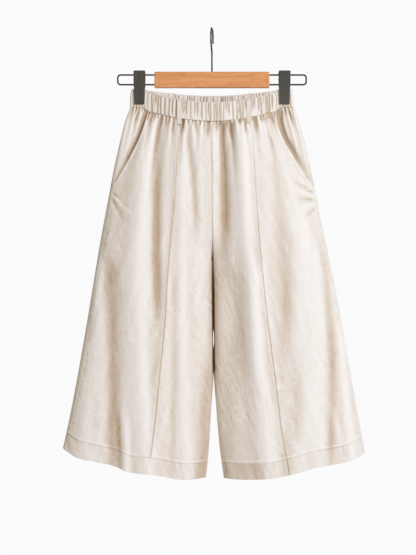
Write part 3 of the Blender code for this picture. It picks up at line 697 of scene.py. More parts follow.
def fine_relief(side, face, place, x, drop):
    """Soft waves, crumples, puckered seams and pleats, as a distance outward."""
    seed = NOISE_SHIFT[face] + NOISE_SHIFT[side]
    from_side = from_side_seam(side, place, drop)
    room = smooth_step(base_depth(side, face, place, drop) / FOLD_ROOM)
    total = wave_relief(side, x, drop, seed) * room
    upright = rise(crotch_height(drop), 0.4, 0.5)
    total = total + upright * seam_groove(x - inner_edge(side, drop), drop, seed, **CENTRE_GROOVE)
    seamed = rise(drop, POCKET_END - 1.0 * MM, 25.0 * MM) if face == "front" else 1.0
    from_stitching = from_side - side_seam_inset(side, face, drop)
    total = total + seamed * seam_groove(from_stitching, drop, seed + 3, **SIDE_GROOVE)
    total = total + hem_relief(side, place, x, drop, seed)
    pleated = pleats(face, waist_x(side, place), below_band(side, face, place, drop))
    total = total + pleated * smooth_step(from_side / GATHER_EDGE)
    if face == "front":
        total = total + creases(x, drop) + pocket_relief(side, place, drop, seed)
    return total


# The tuck's section: how far right of its line, how high, and how much painted shade, with a faint painted
# highlight on its ridge.
TUCK_OFFSETS = np.array([-6.0, -3.6, -2.0, -1.0, -0.2, 0.25, 0.9, 2.0, 4.0]) * MM
TUCK_HEIGHTS = np.array([0.0, 0.4, 1.2, 1.9, 2.0, -0.8, -1.0, -0.5, 0.0]) * MM
TUCK_SHADE = np.array([0.0, -0.6, -1.4, -1.6, 1.4, 7.5, 7.0, 3.2, 0.0])
TUCK_FADE = 26.0 * MM           # distance below the band over which it begins


def tuck_shown(side, place, drop):
    """1 along the tuck, 0 above its start and below its end."""
    below = smooth_step(below_band(side, "front", place, drop) / TUCK_FADE)
    stop = HEM.at(side, place) - HEM_HEIGHT * (side == "left")
    return below * fall(drop, stop + 1.0 * MM, 2.0 * MM)


def tuck_relief(side, face, place, x, drop):
    """The stitched tuck: a pressed ridge whose free edge faces right, beside a narrow groove."""
    if face == "back":
        return np.zeros_like(x)
    away = x - SIDES[side] * tuck_line(side, drop)
    return np.interp(away, TUCK_OFFSETS, TUCK_HEIGHTS) * tuck_shown(side, place, drop)


def surface(side, face, place, drop, lift=0.0):
    """Points of a panel's outer face, or at a distance `lift` outside it."""
    x = cloth_x(side, place, drop)
    depth = cloth_depth(side, face, place, x, drop)
    raised = fine_relief(side, face, place, x, drop) + tuck_relief(side, face, place, x, drop)
    calm = rise(depth, GAP, FINE_CALM)
    normal = base_normal(side, face, place, drop)
    x = x + SIDES[side] * INSEAM.at(face, drop) * bump(x - inner_edge(side, drop), INSEAM_WIDTH)
    points = np.stack([x, FACES[face] * depth, -drop], axis=-1)
    return points + normal * (raised * calm + lift)[..., None]


# ---- Meshes ----

def add_piece(name, points, faces, finish, stands_for=(), hollow=None, sharp=60.0):
    """A mesh that rides on the hanging object. Unused points are left out."""
    faces = [face for face in (list(dict.fromkeys(face)) for face in faces) if len(face) > 2]
    used = np.unique(np.concatenate([np.asarray(face) for face in faces]))
    new = np.full(len(points), -1)
    new[used] = np.arange(len(used))
    mesh = bpy.data.meshes.new(name)
    renumbered = [[int(new[k]) for k in face] for face in faces]
    mesh.from_pydata(np.asarray(points)[used].tolist(), [], renumbered)
    # Painted shade for the cloth's colour, kept on the points.
    if hollow is not None:
        attribute = mesh.attributes.new("hollow", "FLOAT", "POINT")
        attribute.data.foreach_set("value", np.asarray(hollow, dtype=np.float32)[used])
    mesh.materials.append(finish)
    mesh.shade_smooth()
    mesh.set_sharp_from_angle(angle=math.radians(sharp))
    piece = bpy.data.objects.new(name, mesh)
    bpy.context.collection.objects.link(piece)
    return ride(piece, stands_for)


def ride(piece, stands_for=()):
    """Fix a piece to the hanging object and hide the solids it stands for."""
    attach(piece, "root")
    if stands_for:
        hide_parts(*stands_for)
    return piece


def grid_quads(index, flip=False):
    """Faces between neighbouring points of a grid of numbers."""
    quads = np.stack([index[:-1, :-1], index[:-1, 1:], index[1:, 1:], index[1:, :-1]], axis=-1)
    quads = quads.reshape(-1, 4)
    return quads[:, ::-1] if flip else quads


def border(index):
    """The numbers round a grid's edge, in order."""
    return np.concatenate([index[0, :-1], index[:-1, -1], index[-1, :0:-1], index[:0:-1, 0]])


def ring_faces(rings, size, flip, start=0):
    """Faces of a skin over rings of points, numbered from `start`, with a face at each end."""
    index = np.arange(start, start + rings * size).reshape(rings, size)
    faces = grid_quads(np.concatenate([index, index[:, :1]], axis=1), flip).tolist()
    first, last = index[0].tolist(), index[-1].tolist()
    return faces + ([first, last[::-1]] if flip else [first[::-1], last])


def sheet_mesh(name, outer, inner, joined, hollow, flip, finish, stands_for):
    """Closed cloth between two grids; where `joined`, both share their points."""
    count = outer.shape[0] * outer.shape[1]
    front = np.arange(count).reshape(outer.shape[:2])
    back = np.where(joined, front, front + count)
    faces = [grid_quads(front, flip), grid_quads(back, not flip)]
    here, there = border(front), border(back)
    strip = np.stack([here, there, np.roll(there, -1), np.roll(here, -1)], axis=-1)
    faces.append(strip[:, ::-1] if flip else strip)
    points = np.concatenate([outer.reshape(-1, 3), inner.reshape(-1, 3)])
    return add_piece(
        name, points, np.concatenate(faces).tolist(), finish, stands_for,
        hollow=np.concatenate([hollow.ravel(), hollow.ravel()]),
    )


def spaced(*stretches):
    """Numbers from one place to the next at about the given steps."""
    numbers = [stretches[0][0]]
    for (start, step), (end, _) in zip(stretches, stretches[1:]):
        count = max(1, round((end - start) / step))
        numbers += list(np.linspace(start, end, count + 1)[1:])
    return np.array(numbers)


LENGTH = 735.0 * MM             # about a panel's length, to turn millimetres into shares
HEM_LINE = 1.0 - HEM_SHARE

# Rows of a panel as shares of its length, close together at the band and at the hem.
PANEL_SHARES = spaced(
    (-2.0 * MM / LENGTH, 0.002), (0.035, 0.0034), (HEM_LINE - 0.012, 0.0018), (HEM_LINE + 0.008, 0.0032),
    (1.0 - 3.0 * MM / LENGTH, 0.0014), (1.0 - 0.6 * MM / LENGTH, 0.0003), (1.0, 1.0),
)
INNER_COLUMNS = 56              # from the centre or inseam to the tuck
MIDDLE_COLUMNS = 34             # from the tuck to the pocket's edge
BACK_COLUMNS = 112
FACING_WIDTH = 24.0 * MM
EDGE_OFFSETS = MM * np.array([  # the last columns, measured in from the pocket's edge
    14, 12.6, 11.2, 9.9, 8.8, 7.7, 6.7, 5.8, 4.9, 4.0, 3.1, 2.3, 1.6, 1.0, 0.5, 0.15, 0,
])
SETTLE_ROUNDS = 6


def front_places(side, drop):
    """A front's columns: inner part, tuck, middle and the part along the pocket's edge."""
    wide = np.abs(SIDES[side] * reach(side, drop) - inner_edge(side, drop))
    tuck = tuck_place(side, drop)
    edge = pocket_place(side, drop)
    offsets = TUCK_OFFSETS if side == "right" else -TUCK_OFFSETS[::-1]
    first = INNER_COLUMNS
    last = first + len(offsets)
    inward = np.linspace(0.0, 1.0, INNER_COLUMNS, endpoint=False) ** 1.35
    between = np.linspace(0.0, 1.0, MIDDLE_COLUMNS + 2)[1:-1]
    start = (tuck + offsets[-1] / wide)[last:last + MIDDLE_COLUMNS]
    end = (edge - EDGE_OFFSETS[0] / wide)[last:last + MIDDLE_COLUMNS]
    return np.concatenate([
        inward * (tuck + offsets[0] / wide)[:first],
        tuck[first:last] + offsets / wide[first:last],
        start + (end - start) * between,
        edge[last + MIDDLE_COLUMNS:] - EDGE_OFFSETS / wide[last + MIDDLE_COLUMNS:],
    ])


FRONT_COLUMNS = INNER_COLUMNS + len(TUCK_OFFSETS) + MIDDLE_COLUMNS + len(EDGE_OFFSETS)


def back_places(side, drop):
    """A back's columns, closer together at both seams; they are the same at every drop."""
    even = np.linspace(0.0, 1.0, BACK_COLUMNS + 1)
    crowded = 0.5 - 0.5 * np.cos(math.pi * even)
    return 0.55 * even + 0.45 * crowded


def settle(side, face, share, rule, count):
    """Places and drops of one row, where a rule gives places for the drops."""
    drop = np.full(count, HIPS_DROP)
    for _ in range(SETTLE_ROUNDS):
        place = rule(side, drop)
        drop = cloth_drop(side, face, place, share)
    return place, drop


def cloth_grid(side, face, shares, rule, count):
    """Places and drops of all a panel's points, row by row."""
    places, drops = zip(*(settle(side, face, share, rule, count) for share in shares))
    return np.array(places), np.array(drops)


def softened(depth, cells):
    """Depths averaged over so many neighbours each way."""
    for axis in (0, 1):
        pad = [(0, 0), (0, 0)]
        pad[axis] = (cells, cells)
        padded = np.swapaxes(np.pad(depth, pad, mode="edge"), 0, axis)
        total = np.cumsum(np.concatenate([np.zeros_like(padded[:1]), padded]), axis=0)
        width = 2 * cells + 1
        depth = np.swapaxes((total[width:] - total[:-width]) / width, 0, axis)
    return depth


# Painted shade is reckoned as millimetres that a point lies behind the cloth around it; SHADE_LIMIT is the
# deepest painted shade of a fold.
SHADE_LIMIT = 6.2               # deepest colour of a fold; the slit and the loops' ends go beyond
HOLLOW_WINDOWS = ((2, 0.9), (5, 0.7), (12, 0.7))    # neighbours each way, and their weight


def hollowness(points, face, base):
    """How far each point's relief lies behind that of the cloth around it, in millimetres; it sets the
    painted shade in the folds.
    """
    depth = points[..., 1] * FACES[face] - base
    return sum(weight * (softened(depth, cells) - depth) for cells, weight in HOLLOW_WINDOWS) / MM


def edge_round(away, wall):
    """1 on flat cloth, falling to 0 at a folded edge."""
    return np.sqrt(np.clip(1.0 - np.clip(1.0 - away / (wall / 2.0), 0.0, 1.0) ** 2, 0.0, 1.0))


# Soft shadows down the fronts: how far from the seam or the middle each lies, its width, where
# it starts and over what length, where it ends and over what length, and its depth of colour.
SHADOW_COLUMNS = "away width start fade_in end fade_out depth"
SEAM_SHADOWS = {
    "left": Table(SHADOW_COLUMNS, ((12, 11, 620, 90, 1200, 90, 3.4),)),
    "right": Table(SHADOW_COLUMNS, ((38, 24, 560, 90, 1200, 90, 1.1),)),
}
MIDDLE_SHADOWS = Table(SHADOW_COLUMNS, (
    (8, 22, 190, 60, 500, 60, 1.5),
    (25, 9, 220, 80, 540, 200, 2.4),
))


def shadows(table, away, drop):
    """Depth of colour that a table's shadows add."""
    total = np.zeros_like(drop)
    for place, width, start, fade_in, end, fade_out, depth in table.rows:
        shown = rise(drop, start, fade_in) * fall(drop, end, fade_out)
        total = total + depth * shown * bump(away - place, width)
    return total / MM


def sewn_shade(side, face, place, drop):
    """Painted shade along the stitching, at the centre and between the legs, with a painted highlight on the
    puffed cloth above the hem.
    """
    x = cloth_x(side, place, drop)
    from_seam = np.abs(x - inner_edge(side, drop))
    above = above_hem(side, place, drop)
    in_hem = fall(above, 0.0, 2.0 * MM)
    legs = rise(drop, 440.0 * MM, 80.0 * MM)
    below = below_band(side, face, place, drop)
    shade = 1.6 * bump(above + 0.4 * MM, 1.3 * MM) - 1.4 * bump(above - 2.4 * MM, 1.8 * MM) + 0.5 * in_hem
    shade = shade + (1.4 * bump(from_seam, 8.0 * MM) + 1.7 * bump(from_seam, 28.0 * MM)) * legs
    shade = shade + 1.5 * bump(below, 2.0 * MM) - 2.9 * pleats(face, waist_x(side, place), below) / MM
    if face == "back":
        return shade
    shade = shade + shadows(SEAM_SHADOWS[side], from_seam, drop) + shadows(MIDDLE_SHADOWS, x, drop)
    if side == "right":
        shade = shade + 2.4 * bump(from_seam - 66.0 * MM, 40.0 * MM) * in_hem
    shade = shade + 2.6 * bump(from_seam, 1.2 * MM) * rise(drop, 200.0 * MM, 60.0 * MM) * (1.0 - legs)
    from_tuck = x - SIDES[side] * tuck_line(side, drop)
    strength = (0.35 + 0.65 * rise(drop, 330.0 * MM, 120.0 * MM)) * tuck_shown(side, place, drop)
    return shade + np.interp(from_tuck, TUCK_OFFSETS, TUCK_SHADE) * strength


def slit_shade(side, place, drop):
    """Painted shadow: the dark line between the legs, where they hang close together."""
    from_seam = np.abs(cloth_x(side, place, drop) - inner_edge(side, drop))
    close = rise(drop, 428.0 * MM, 34.0 * MM) * fall(drop, 706.0 * MM, 30.0 * MM)
    return (10.5 - 4.5 * rise(drop, 610.0 * MM, 40.0 * MM)) * bump(from_seam, 1.25 * MM) * close


def make_panel(side, face, finish):
    """A front or back from the waistband's seam to the hem, with its layers and rounded edges."""
    count, rule = (FRONT_COLUMNS, front_places) if face == "front" else (BACK_COLUMNS + 1, back_places)
    place, drop = cloth_grid(side, face, PANEL_SHARES, rule, count)
    share = np.broadcast_to(PANEL_SHARES[:, None], place.shape)
    in_hem = share > HEM_LINE - 0.001
    wall = CLOTH + HEM_LAYERS * in_hem
    round_off = edge_round((1.0 - share) * LENGTH, wall)
    if face == "front":
        edge = (pocket_place(side, drop) - place) * reach(side, drop)
        has_pocket = drop < POCKET_END
        wall = wall + FACING * has_pocket * (edge < FACING_WIDTH)
        round_off = np.where(has_pocket, np.minimum(round_off, edge_round(edge, wall)), round_off)
    joined = round_off < 0.02
    outer = surface(side, face, place, drop, -wall / 2.0 * (1.0 - round_off))
    inner = surface(side, face, place, drop, -wall / 2.0 * (1.0 + round_off))
    outer[joined] = 0.5 * (outer + inner)[joined]
    flip = SIDES[side] * FACES[face] < 0
    node = f"{face}_{side}"
    # Painted shade for the twill's colour: hollows, seams, tuck and the painted shadow of the slit between
    # the legs.
    hollow = hollowness(outer, face, base_depth(side, face, place, drop)) * (1.0 - 0.35 * in_hem)
    hollow = hollow + sewn_shade(side, face, place, drop)
    hollow = np.minimum(hollow, SHADE_LIMIT) + slit_shade(side, place, drop)
    return sheet_mesh(f"panel_{node}", outer, inner, joined, hollow, flip, finish, (node, f"leg_{node}"))


HIP_SHARES = spaced((-2.0 * MM / LENGTH, 0.002), (0.035, 0.0034), (0.238, 1.0))
HIP_COLUMNS = 44


def hip_places(side, drop):
    """A hip piece's columns, from under the front panel to the side seam."""
    across = np.linspace(0.0, 1.0, HIP_COLUMNS + 1)
    across = 0.5 * across + 0.5 * (1.0 - (1.0 - across) ** 1.6)
    start = np.minimum(pocket_line(side, drop), 1.0) - POCKET_UNDERLAP
    return start + (1.0 - start) * across


def make_hip(side, finish):
    """Side piece that shows in the pocket opening and goes on under the front."""
    place, drop = cloth_grid(side, "front", HIP_SHARES, hip_places, HIP_COLUMNS + 1)
    past = (place - pocket_line(side, drop)) * reach(side, drop)
    shown = smooth_step(past / HIP_RISE)
    x = cloth_x(side, place, drop)
    raised = np.maximum(relief(side, "front", place, x, drop), 0.0)
    small = pleats("front", waist_x(side, place), below_band(side, "front", place, drop))
    fine = 1.6 * small + 0.3 * MM * SOFT_WAVES.over(x, drop, HIP_PITCH)
    fine = fine * smooth_step(from_side_seam(side, place, drop) / GATHER_EDGE)
    dip = HIP_DIP[side] * bump(past - HIP_DIP_PLACE, HIP_DIP_PLACE) * fall(drop, 295.0 * MM, 60.0 * MM)
    base = base_depth(side, "front", place, drop)
    depth = base + shown * (raised + fine) - dip
    normal = base_normal(side, "front", place, drop)
    at_side = rise(place, 0.95, 0.045) * fall(drop, POCKET_END - 1.0 * MM, 8.0 * MM)
    inset = HIP_INSET * (1.0 - shown) * (1.0 - at_side)
    outer = np.stack([x, -depth, -drop], axis=-1) - normal * inset[..., None]
    inner = outer - normal * CLOTH
    joined = np.zeros(place.shape, dtype=bool)
    flip = SIDES[side] * FACES["front"] < 0
    # Painted shade for the twill's colour: hollows, the pleats' valleys and a painted shadow in the pocket
    # opening.
    width = HIP_SHADOW[side]
    in_shadow = (2.8 + 4.2 * fall(drop, 300.0 * MM, 90.0 * MM)) * bump(past - 0.35 * width, width)
    hollow = hollowness(outer, "front", base) - 2.4 * small / MM + in_shadow
    hollow = np.minimum(hollow, SHADE_LIMIT)
    return sheet_mesh(f"panel_hip_{side}", outer, inner, joined, hollow, flip, finish, (f"hip_{side}",))


def band_depth(face, x):
    """Distance of the casing's middle from the mid-plane."""
    return BAND_CLEAR + BAND_HALF + RIB_IN * SQUEEZED + BAND_BOW[face] * pinch(np.abs(x) / BAND_REACH)


def band_squeeze(x):
    """1 under a clip, 0 elsewhere."""
    return fall(np.abs(np.abs(x) - CLIP_PLACE), SQUEEZE_HALF, SQUEEZE_EDGE)


def rib_relief(face, x, height):
    """Height of the casing's gathers: crests between uneven valleys."""
    total = np.full(np.broadcast(x, height).shape, RIB_CREST)
    for place, width, depth, lean, start, _ in RIBS[face]:
        line = place + lean * (height - 0.5)
        total = total - depth * rise(height, start, RIB_DEEPENS) * bump(x - line, width)
    total = total * (0.25 + 0.75 * fall(height, 0.985, 0.07)) * (0.4 + 0.6 * rise(height, 0.005, 0.05))
    total = total * (1.0 - (1.0 - SQUEEZED) * band_squeeze(x))
    foot = fall(height, 0.24, 0.12)
    for tick in CLIP_TICKS:
        total = total - TICK_DEPTH * foot * bump(np.abs(x) - CLIP_PLACE - tick, TICK_WIDTH)
    return total + 0.35 * MM * bump(height - 0.965, 0.02) - 0.3 * MM * bump(height - 0.915, 0.018)


BAND_HEIGHTS = [
    0.0, 0.012, 0.04, 0.08, 0.15, 0.25, 0.37, 0.5, 0.62, 0.74, 0.84, 0.89, 0.915, 0.94, 0.965, 0.985,
]
# The casing's section as heights and sides: side 1 is its outer face, -1 its inner face.
BAND_SECTION = (
    [(height, 1.0) for height in BAND_HEIGHTS] + [(1.0, 0.55), (1.004, 0.0), (1.0, -0.55)]
    + [(height, -1.0) for height in BAND_HEIGHTS[::-1]] + [(-0.006, -0.5), (-0.006, 0.5)]
)
BAND_STEPS = 420
TURN_STEPS = 9


def band_stations():
    """Where the casing's sections stand: across the front, round a side, back, round the other."""
    end = BAND_REACH - band_depth("front", BAND_REACH)
    straight = np.linspace(-1.0, 1.0, BAND_STEPS) * end
    turn = np.linspace(0.0, math.pi, TURN_STEPS + 2)[1:-1]
    front = [(x, "front", 0.0) for x in straight] + [(end, "front", angle) for angle in turn]
    return front + [(x, "back", 0.0) for x in straight[::-1]] + [(-end, "back", angle) for angle in turn]


def band_ring(x, face, angle, heights, sides, ribs):
    """Points of one section, turned by an angle about the band's end."""
    inside = 0.35 + 0.65 * pinch(abs(x) / BAND_REACH)
    flattened = ribs * math.cos(angle / 2.0) ** 2
    out = sides * BAND_HALF * 0.86 + np.where(sides > 0, flattened, -flattened * inside) * np.abs(sides)
    away = band_depth(face, x) + out
    along = x - FACES[face] * away * np.sin(angle)
    narrowed = along * (1.0 - BAND_TAPER * np.clip(heights, 0.0, 1.0) ** 3)
    top = BAND_TOP + BAND_SAG[face] * sag(x)
    drop = top + BAND_HEIGHT * (1.0 - heights) - 0.5 * flattened * (heights > 0.9)
    return np.stack([narrowed, FACES[face] * away * np.cos(angle), -drop], axis=-1)


def make_waistband(finish):
    """One ring of gathered casing."""
    stations = band_stations()
    heights, sides = np.array(BAND_SECTION).T
    shown = np.clip(heights, 0.0, 1.0)
    ribs = np.array([rib_relief(face, np.full_like(heights, x), shown) for x, face, _ in stations])
    points = np.array([
        band_ring(x, face, angle, heights, sides, row) for (x, face, angle), row in zip(stations, ribs)
    ])
    index = np.arange(ribs.size).reshape(ribs.shape)
    index = np.concatenate([index, index[:1]])
    index = np.concatenate([index, index[:, :1]], axis=1)
    inner = np.broadcast_to(sides < 0, ribs.shape)
    # Painted shade in the ribs' valleys and a painted shadow along the band's lower edge; its inner face is
    # painted lighter.
    seam = 2.0 * bump(heights * BAND_HEIGHT, 1.2 * MM)
    hollow = (0.45 - ribs / MM) * np.where(inner, 1.5, 3.5) - 0.8 * inner + seam
    return add_piece(
        "waistband", points.reshape(-1, 3), grid_quads(index, True).tolist(), finish,
        ("waistband_front", "waistband_back"), hollow=np.minimum(hollow, SHADE_LIMIT).ravel(), sharp=80.0,
    )


# Rows of a belt loop, as shares of the band's height and then of its tail's length.
LOOP_SHARES = np.array([-0.03, 0.0, 0.03, 0.1, 0.25, 0.4, 0.55, 0.7, 0.85, 0.95, 1.0])
LOOP_TAIL_SHARES = np.array([0.15, 0.35, 0.55, 0.75, 0.9, 1.0])
LOOP_TACKED = 0.55              # what a tack leaves of its thickness
# Its section, as shares of half its width and of its wall.
LOOP_SECTION = (
    (-1.0, 0.5), (-0.94, 0.85), (-0.8, 1.0), (-0.66, 0.86), (-0.4, 0.96), (0.0, 1.0),
    (0.4, 0.96), (0.66, 0.86), (0.8, 1.0), (0.94, 0.85), (1.0, 0.5), (0.94, 0.1), (0.0, 0.0), (-0.94, 0.1),
)


def loop_depth(side, face, x, drop, on_panel):
    """Distance of a belt loop's inner face from the mid-plane."""
    over_band = band_depth(face, x) + BAND_HALF + LOOP_LIFT
    if not on_panel:
        return over_band
    near = x + LOOP_WIDTH * np.linspace(-0.55, 0.55, 9)
    drops = np.full_like(near, drop)
    points = surface(side, face, place_at(side, near, drops), drops)
    return max(np.max(points[:, 1] * FACES[face]) + LOOP_CLEAR, over_band - LOOP_DRAW)


def make_loop(side, face, middle, finish):
    """Folded strip that lies over the band and is tacked down above and below it."""
    top = BAND_TOP + BAND_SAG[face] * sag(middle)
    stations = [(top + BAND_HEIGHT * share, False) for share in LOOP_SHARES]
    stations += [(top + BAND_HEIGHT + LOOP_TAIL * share, True) for share in LOOP_TAIL_SHARES]
    end = len(stations) - 1
    points, tail = [], []
    for k, (drop, on_panel) in enumerate(stations):
        depth = loop_depth(side, face, middle, drop, on_panel)
        wall = LOOP_WALL * (LOOP_TACKED if k in (2, end - 1) else 1.0)
        points += [
            (middle + u * LOOP_WIDTH / 2.0, FACES[face] * (depth + v * wall), -drop) for u, v in LOOP_SECTION
        ]
        tail.append(0.7 + 0.8 * on_panel + 2.6 * (k == end))
    faces = ring_faces(len(stations), len(LOOP_SECTION), FACES[face] > 0)
    # Painted shade: deeper towards the loop's edges, below the band and most at the tail's end.
    across = np.abs([u for u, _ in LOOP_SECTION])
    hollow = (np.array(tail)[:, None] + 3.2 * rise(across, 0.6, 0.4)).ravel()
    node = f"loop_{face}_{side}"
    return add_piece(f"belt_{node}", np.array(points), faces, finish, (node,), hollow)


# ---- Stitching ----

THREAD_RADIUS = 0.28 * MM
STITCH_LENGTH = 3.3 * MM
STITCH_GAP = 0.7 * MM
THREAD_SECTION = [(math.cos(a), math.sin(a)) for a in np.linspace(0, 2 * math.pi, 6)[:-1]]
# Along a stitch: place, thickness and height, each as a share of its length or radius.
THREAD_STATIONS = ((-0.5, 0.35, -0.3), (-0.28, 1.0, 0.25), (0.28, 1.0, 0.25), (0.5, 0.35, -0.3))
POCKET_STITCH_LENGTH = 2.8 * MM
POCKET_TACK = {"along": 9.0 * MM, "height": 2.2 * MM}
LOOP_TACK = {"along": 8.6 * MM, "height": 2.0 * MM}
LOOP_TACK_DROPS = (1.6 * MM, BAND_HEIGHT + 7.0 * MM)    # below the band's top edge
TACK_STITCHES = 12
DOWN = np.array([0.0, 0.0, -1.0])
ACROSS = np.array([1.0, 0.0, 0.0])


class Stitching:
    """All the stitches of one piece of sewing, gathered into one mesh."""

    def __init__(self):
        self.points, self.faces = [], []

    def stitch(self, middle, along, out, length, radius=THREAD_RADIUS):
        """One stitch, which dips into the cloth at both ends."""
        across = np.cross(along, out)
        self.faces += ring_faces(len(THREAD_STATIONS), len(THREAD_SECTION), True, len(self.points))
        for place, thick, lift in THREAD_STATIONS:
            centre = middle + along * length * place + out * radius * lift
            self.points += [centre + (across * u + out * v) * radius * thick for u, v in THREAD_SECTION]

    def row(self, points, out, length=STITCH_LENGTH):
        """Stitches end to end along a line of points."""
        steps = np.linalg.norm(np.diff(points, axis=0), axis=1)
        travelled = np.concatenate([[0.0], np.cumsum(steps)])

        def read(values, at):
            """Values at a distance travelled along the line."""
            return np.array([np.interp(at, travelled, values[:, k]) for k in range(3)])

        for centre in np.arange(length / 2.0, travelled[-1] - length / 2.0, length + STITCH_GAP):
            start = read(points, centre - length / 2.0)
            end = read(points, centre + length / 2.0)
            along = end - start
            along /= np.linalg.norm(along)
            normal = read(out, centre)
            normal -= along * (normal @ along)
            normal /= np.linalg.norm(normal)
            self.stitch((start + end) / 2.0, along, normal, length)

    def on_panel(self, side, face, place, drop, **sizes):
        """A row of stitches on a panel's outer face."""
        points = surface(side, face, place, drop, 0.05 * MM)
        self.row(points, base_normal(side, face, place, drop), **sizes)

    def bar_tack(self, middle, way, out, along, height):
        """Close zigzag stitches across a short bar that runs one way."""
        across = np.cross(way, out)
        slant = across * height + way * along / TACK_STITCHES * 0.7
        slant /= np.linalg.norm(slant)
        for k in range(TACK_STITCHES):
            t = (k + 0.5) / TACK_STITCHES - 0.5
            self.stitch(middle + way * along * t, slant, out, height, THREAD_RADIUS * 0.9)

    def build(self, name, finish):
        """One mesh of all the stitches."""
        return add_piece(name, np.array(self.points), self.faces, finish)


def sew_panel(side, face, thread):
    """Hem, side seam and pocket stitching of one panel."""
    sewing = Stitching()
    place = np.linspace(0.01, 0.995, 300)
    sewing.on_panel(side, face, place, HEM.at(side, place) - HEM_HEIGHT)
    drop = np.linspace(SIDE_STITCH_TOP[face], SIDE_STITCH_END, 400)
    sewing.on_panel(side, face, 1.0 - side_seam_inset(side, face, drop) / reach(side, drop), drop)
    if face == "front":
        drop = np.linspace(POCKET["drop"][0], POCKET_END - 3 * MM, 200)
        line = pocket_line(side, drop) - POCKET_STITCH[side] / reach(side, drop)
        sewing.on_panel(side, face, line, drop, length=POCKET_STITCH_LENGTH)
        spot = (side, face, np.array([0.975]), np.array([POCKET_END + 3.0 * MM]))
        sewing.bar_tack(surface(*spot, 0.1 * MM)[0], DOWN, base_normal(*spot)[0], **POCKET_TACK)
    return sewing.build(f"stitching_{face}_{side}", thread)


def sew_loop(side, face, middle, thread):
    """Bar tacks at a belt loop's two ends."""
    sewing = Stitching()
    top = BAND_TOP + BAND_SAG[face] * sag(middle)
    for below_top in LOOP_TACK_DROPS:
        drop = top + below_top
        depth = loop_depth(side, face, middle, drop, below_top > BAND_HEIGHT) + LOOP_WALL * 0.9
        place = np.array([middle, FACES[face] * depth, -drop])
        sewing.bar_tack(place, ACROSS, np.array([0.0, FACES[face], 0.0]), **LOOP_TACK)
    return sewing.build(f"tacks_{face}_{side}", thread)


# ---- Hanger ----

def round_wire(name, route, radius, finish, stands_for=(), sides=8):
    """Round wire along a list of points, closed at both ends."""
    curve = bpy.data.curves.new(name, "CURVE")
    curve.dimensions = "3D"
    curve.bevel_depth = radius
    curve.bevel_resolution = sides
    curve.use_fill_caps = True
    curve.twist_mode = "MINIMUM"
    spline = curve.splines.new("POLY")
    spline.points.add(len(route) - 1)
    for point, place in zip(spline.points, route):
        point.co = (*place, 1.0)
    curve.materials.append(finish)
    spline.use_smooth = True
    wire = bpy.data.objects.new(name, curve)
    bpy.context.collection.objects.link(wire)
    return ride(wire, stands_for)


def arc(centre, radius, start, end, count):
    """Points round part of a circle, angles in degrees."""
    for angle in np.linspace(math.radians(start), math.radians(end), count):
        yield centre[0] + radius * math.cos(angle), centre[1] + radius * math.sin(angle)


def wire_route(direction):
    """One end of the flattened wire loop, from the bar out and back."""
    start = BAR_SIZE[0] / 2.0 - WIRE_SUNK
    corner = HANGER_REACH - WIRE_RADIUS - WIRE_CORNER
    top, low = (-drop for drop in WIRE_DROPS)
    flat = [(start, top)]
    flat += list(arc((corner, top - WIRE_CORNER), WIRE_CORNER, 90, 0, WIRE_CORNER_POINTS))
    flat += list(arc((corner, low + WIRE_CORNER), WIRE_CORNER, 0, -90, WIRE_CORNER_POINTS))
    flat.append((start, low))
    return [(direction * x, 0.0, z) for x, z in flat]


def hook_route():
    """From its tip behind, over the crown to the front, down and back into the stem."""
    radius = HOOK_INNER + HOOK_WIRE
    bend = list(arc((0.0, -HOOK_INNER), radius, HOOK_TIP_ANGLE, HOOK_NECK_ANGLE, HOOK_ROUND_POINTS))
    neck = math.radians(HOOK_NECK_ANGLE)
    start = Vector(bend[-1])
    heading = Vector((-math.sin(neck), math.cos(neck)))
    end = Vector((0.0, -HOOK_STEM_DROP))
    handles = (start, start + heading * HOOK_PULL, end + Vector((0.0, HOOK_PULL)), end)
    for t in np.linspace(0.0, 1.0, HOOK_NECK_POINTS)[1:]:
        back = 1.0 - t
        weights = (back ** 3, 3.0 * t * back ** 2, 3.0 * t * t * back, t ** 3)
        point = sum((handle * weight for handle, weight in zip(handles, weights)), Vector((0.0, 0.0)))
        bend.append(tuple(point))
    bend.append((0.0, -BAR_TOP - WIRE_SUNK))
    return [(HOOK_TURN * y, y, z) for y, z in bend]


# A clip's jaw from top to bottom: its half width, inner face and the edge of its side walls.
JAW = Table("drop half inner wall_edge", (
    (84.0, 10.9, 8.2, 7.6),
    (85.2, 11.7, 8.0, 7.2),
    (88.0, 11.7, 7.5, 2.2),
    (100.0, 11.7, 5.9, 2.2),
    (116.0, 11.6, 4.9, 2.2),
    (118.5, 10.9, 4.7, 4.05),
    (150.2, 10.0, 4.7, 4.05),
    (151.0, 9.7, 4.9, 4.3),
))
JAW_WALL = 1.3 * MM
JAW_ROUND = 0.35 * MM
BEVEL_ANGLE = math.radians(35.0)    # edges sharper than this are rounded off
PIN_RADIUS = 1.9 * MM
PIN_DROP = 101.7 * MM
PIN_PROUD = 0.9 * MM
SPRING_RADIUS = 3.2 * MM
SPRING_WIRE = 0.6 * MM
SPRING_TURNS = 5
SPRING_HALF = 5.0 * MM          # half its length along the pin
SPRING_LEG = (6.6 * MM, 7.0 * MM)   # how far out and how far up a leg ends


def bevelled(piece, width, segments=2):
    """Round off the piece's edges."""
    bevel = piece.modifiers.new("rounded edges", "BEVEL")
    bevel.width = width
    bevel.segments = segments
    bevel.limit_method = "ANGLE"
    bevel.angle_limit = BEVEL_ANGLE
    return piece


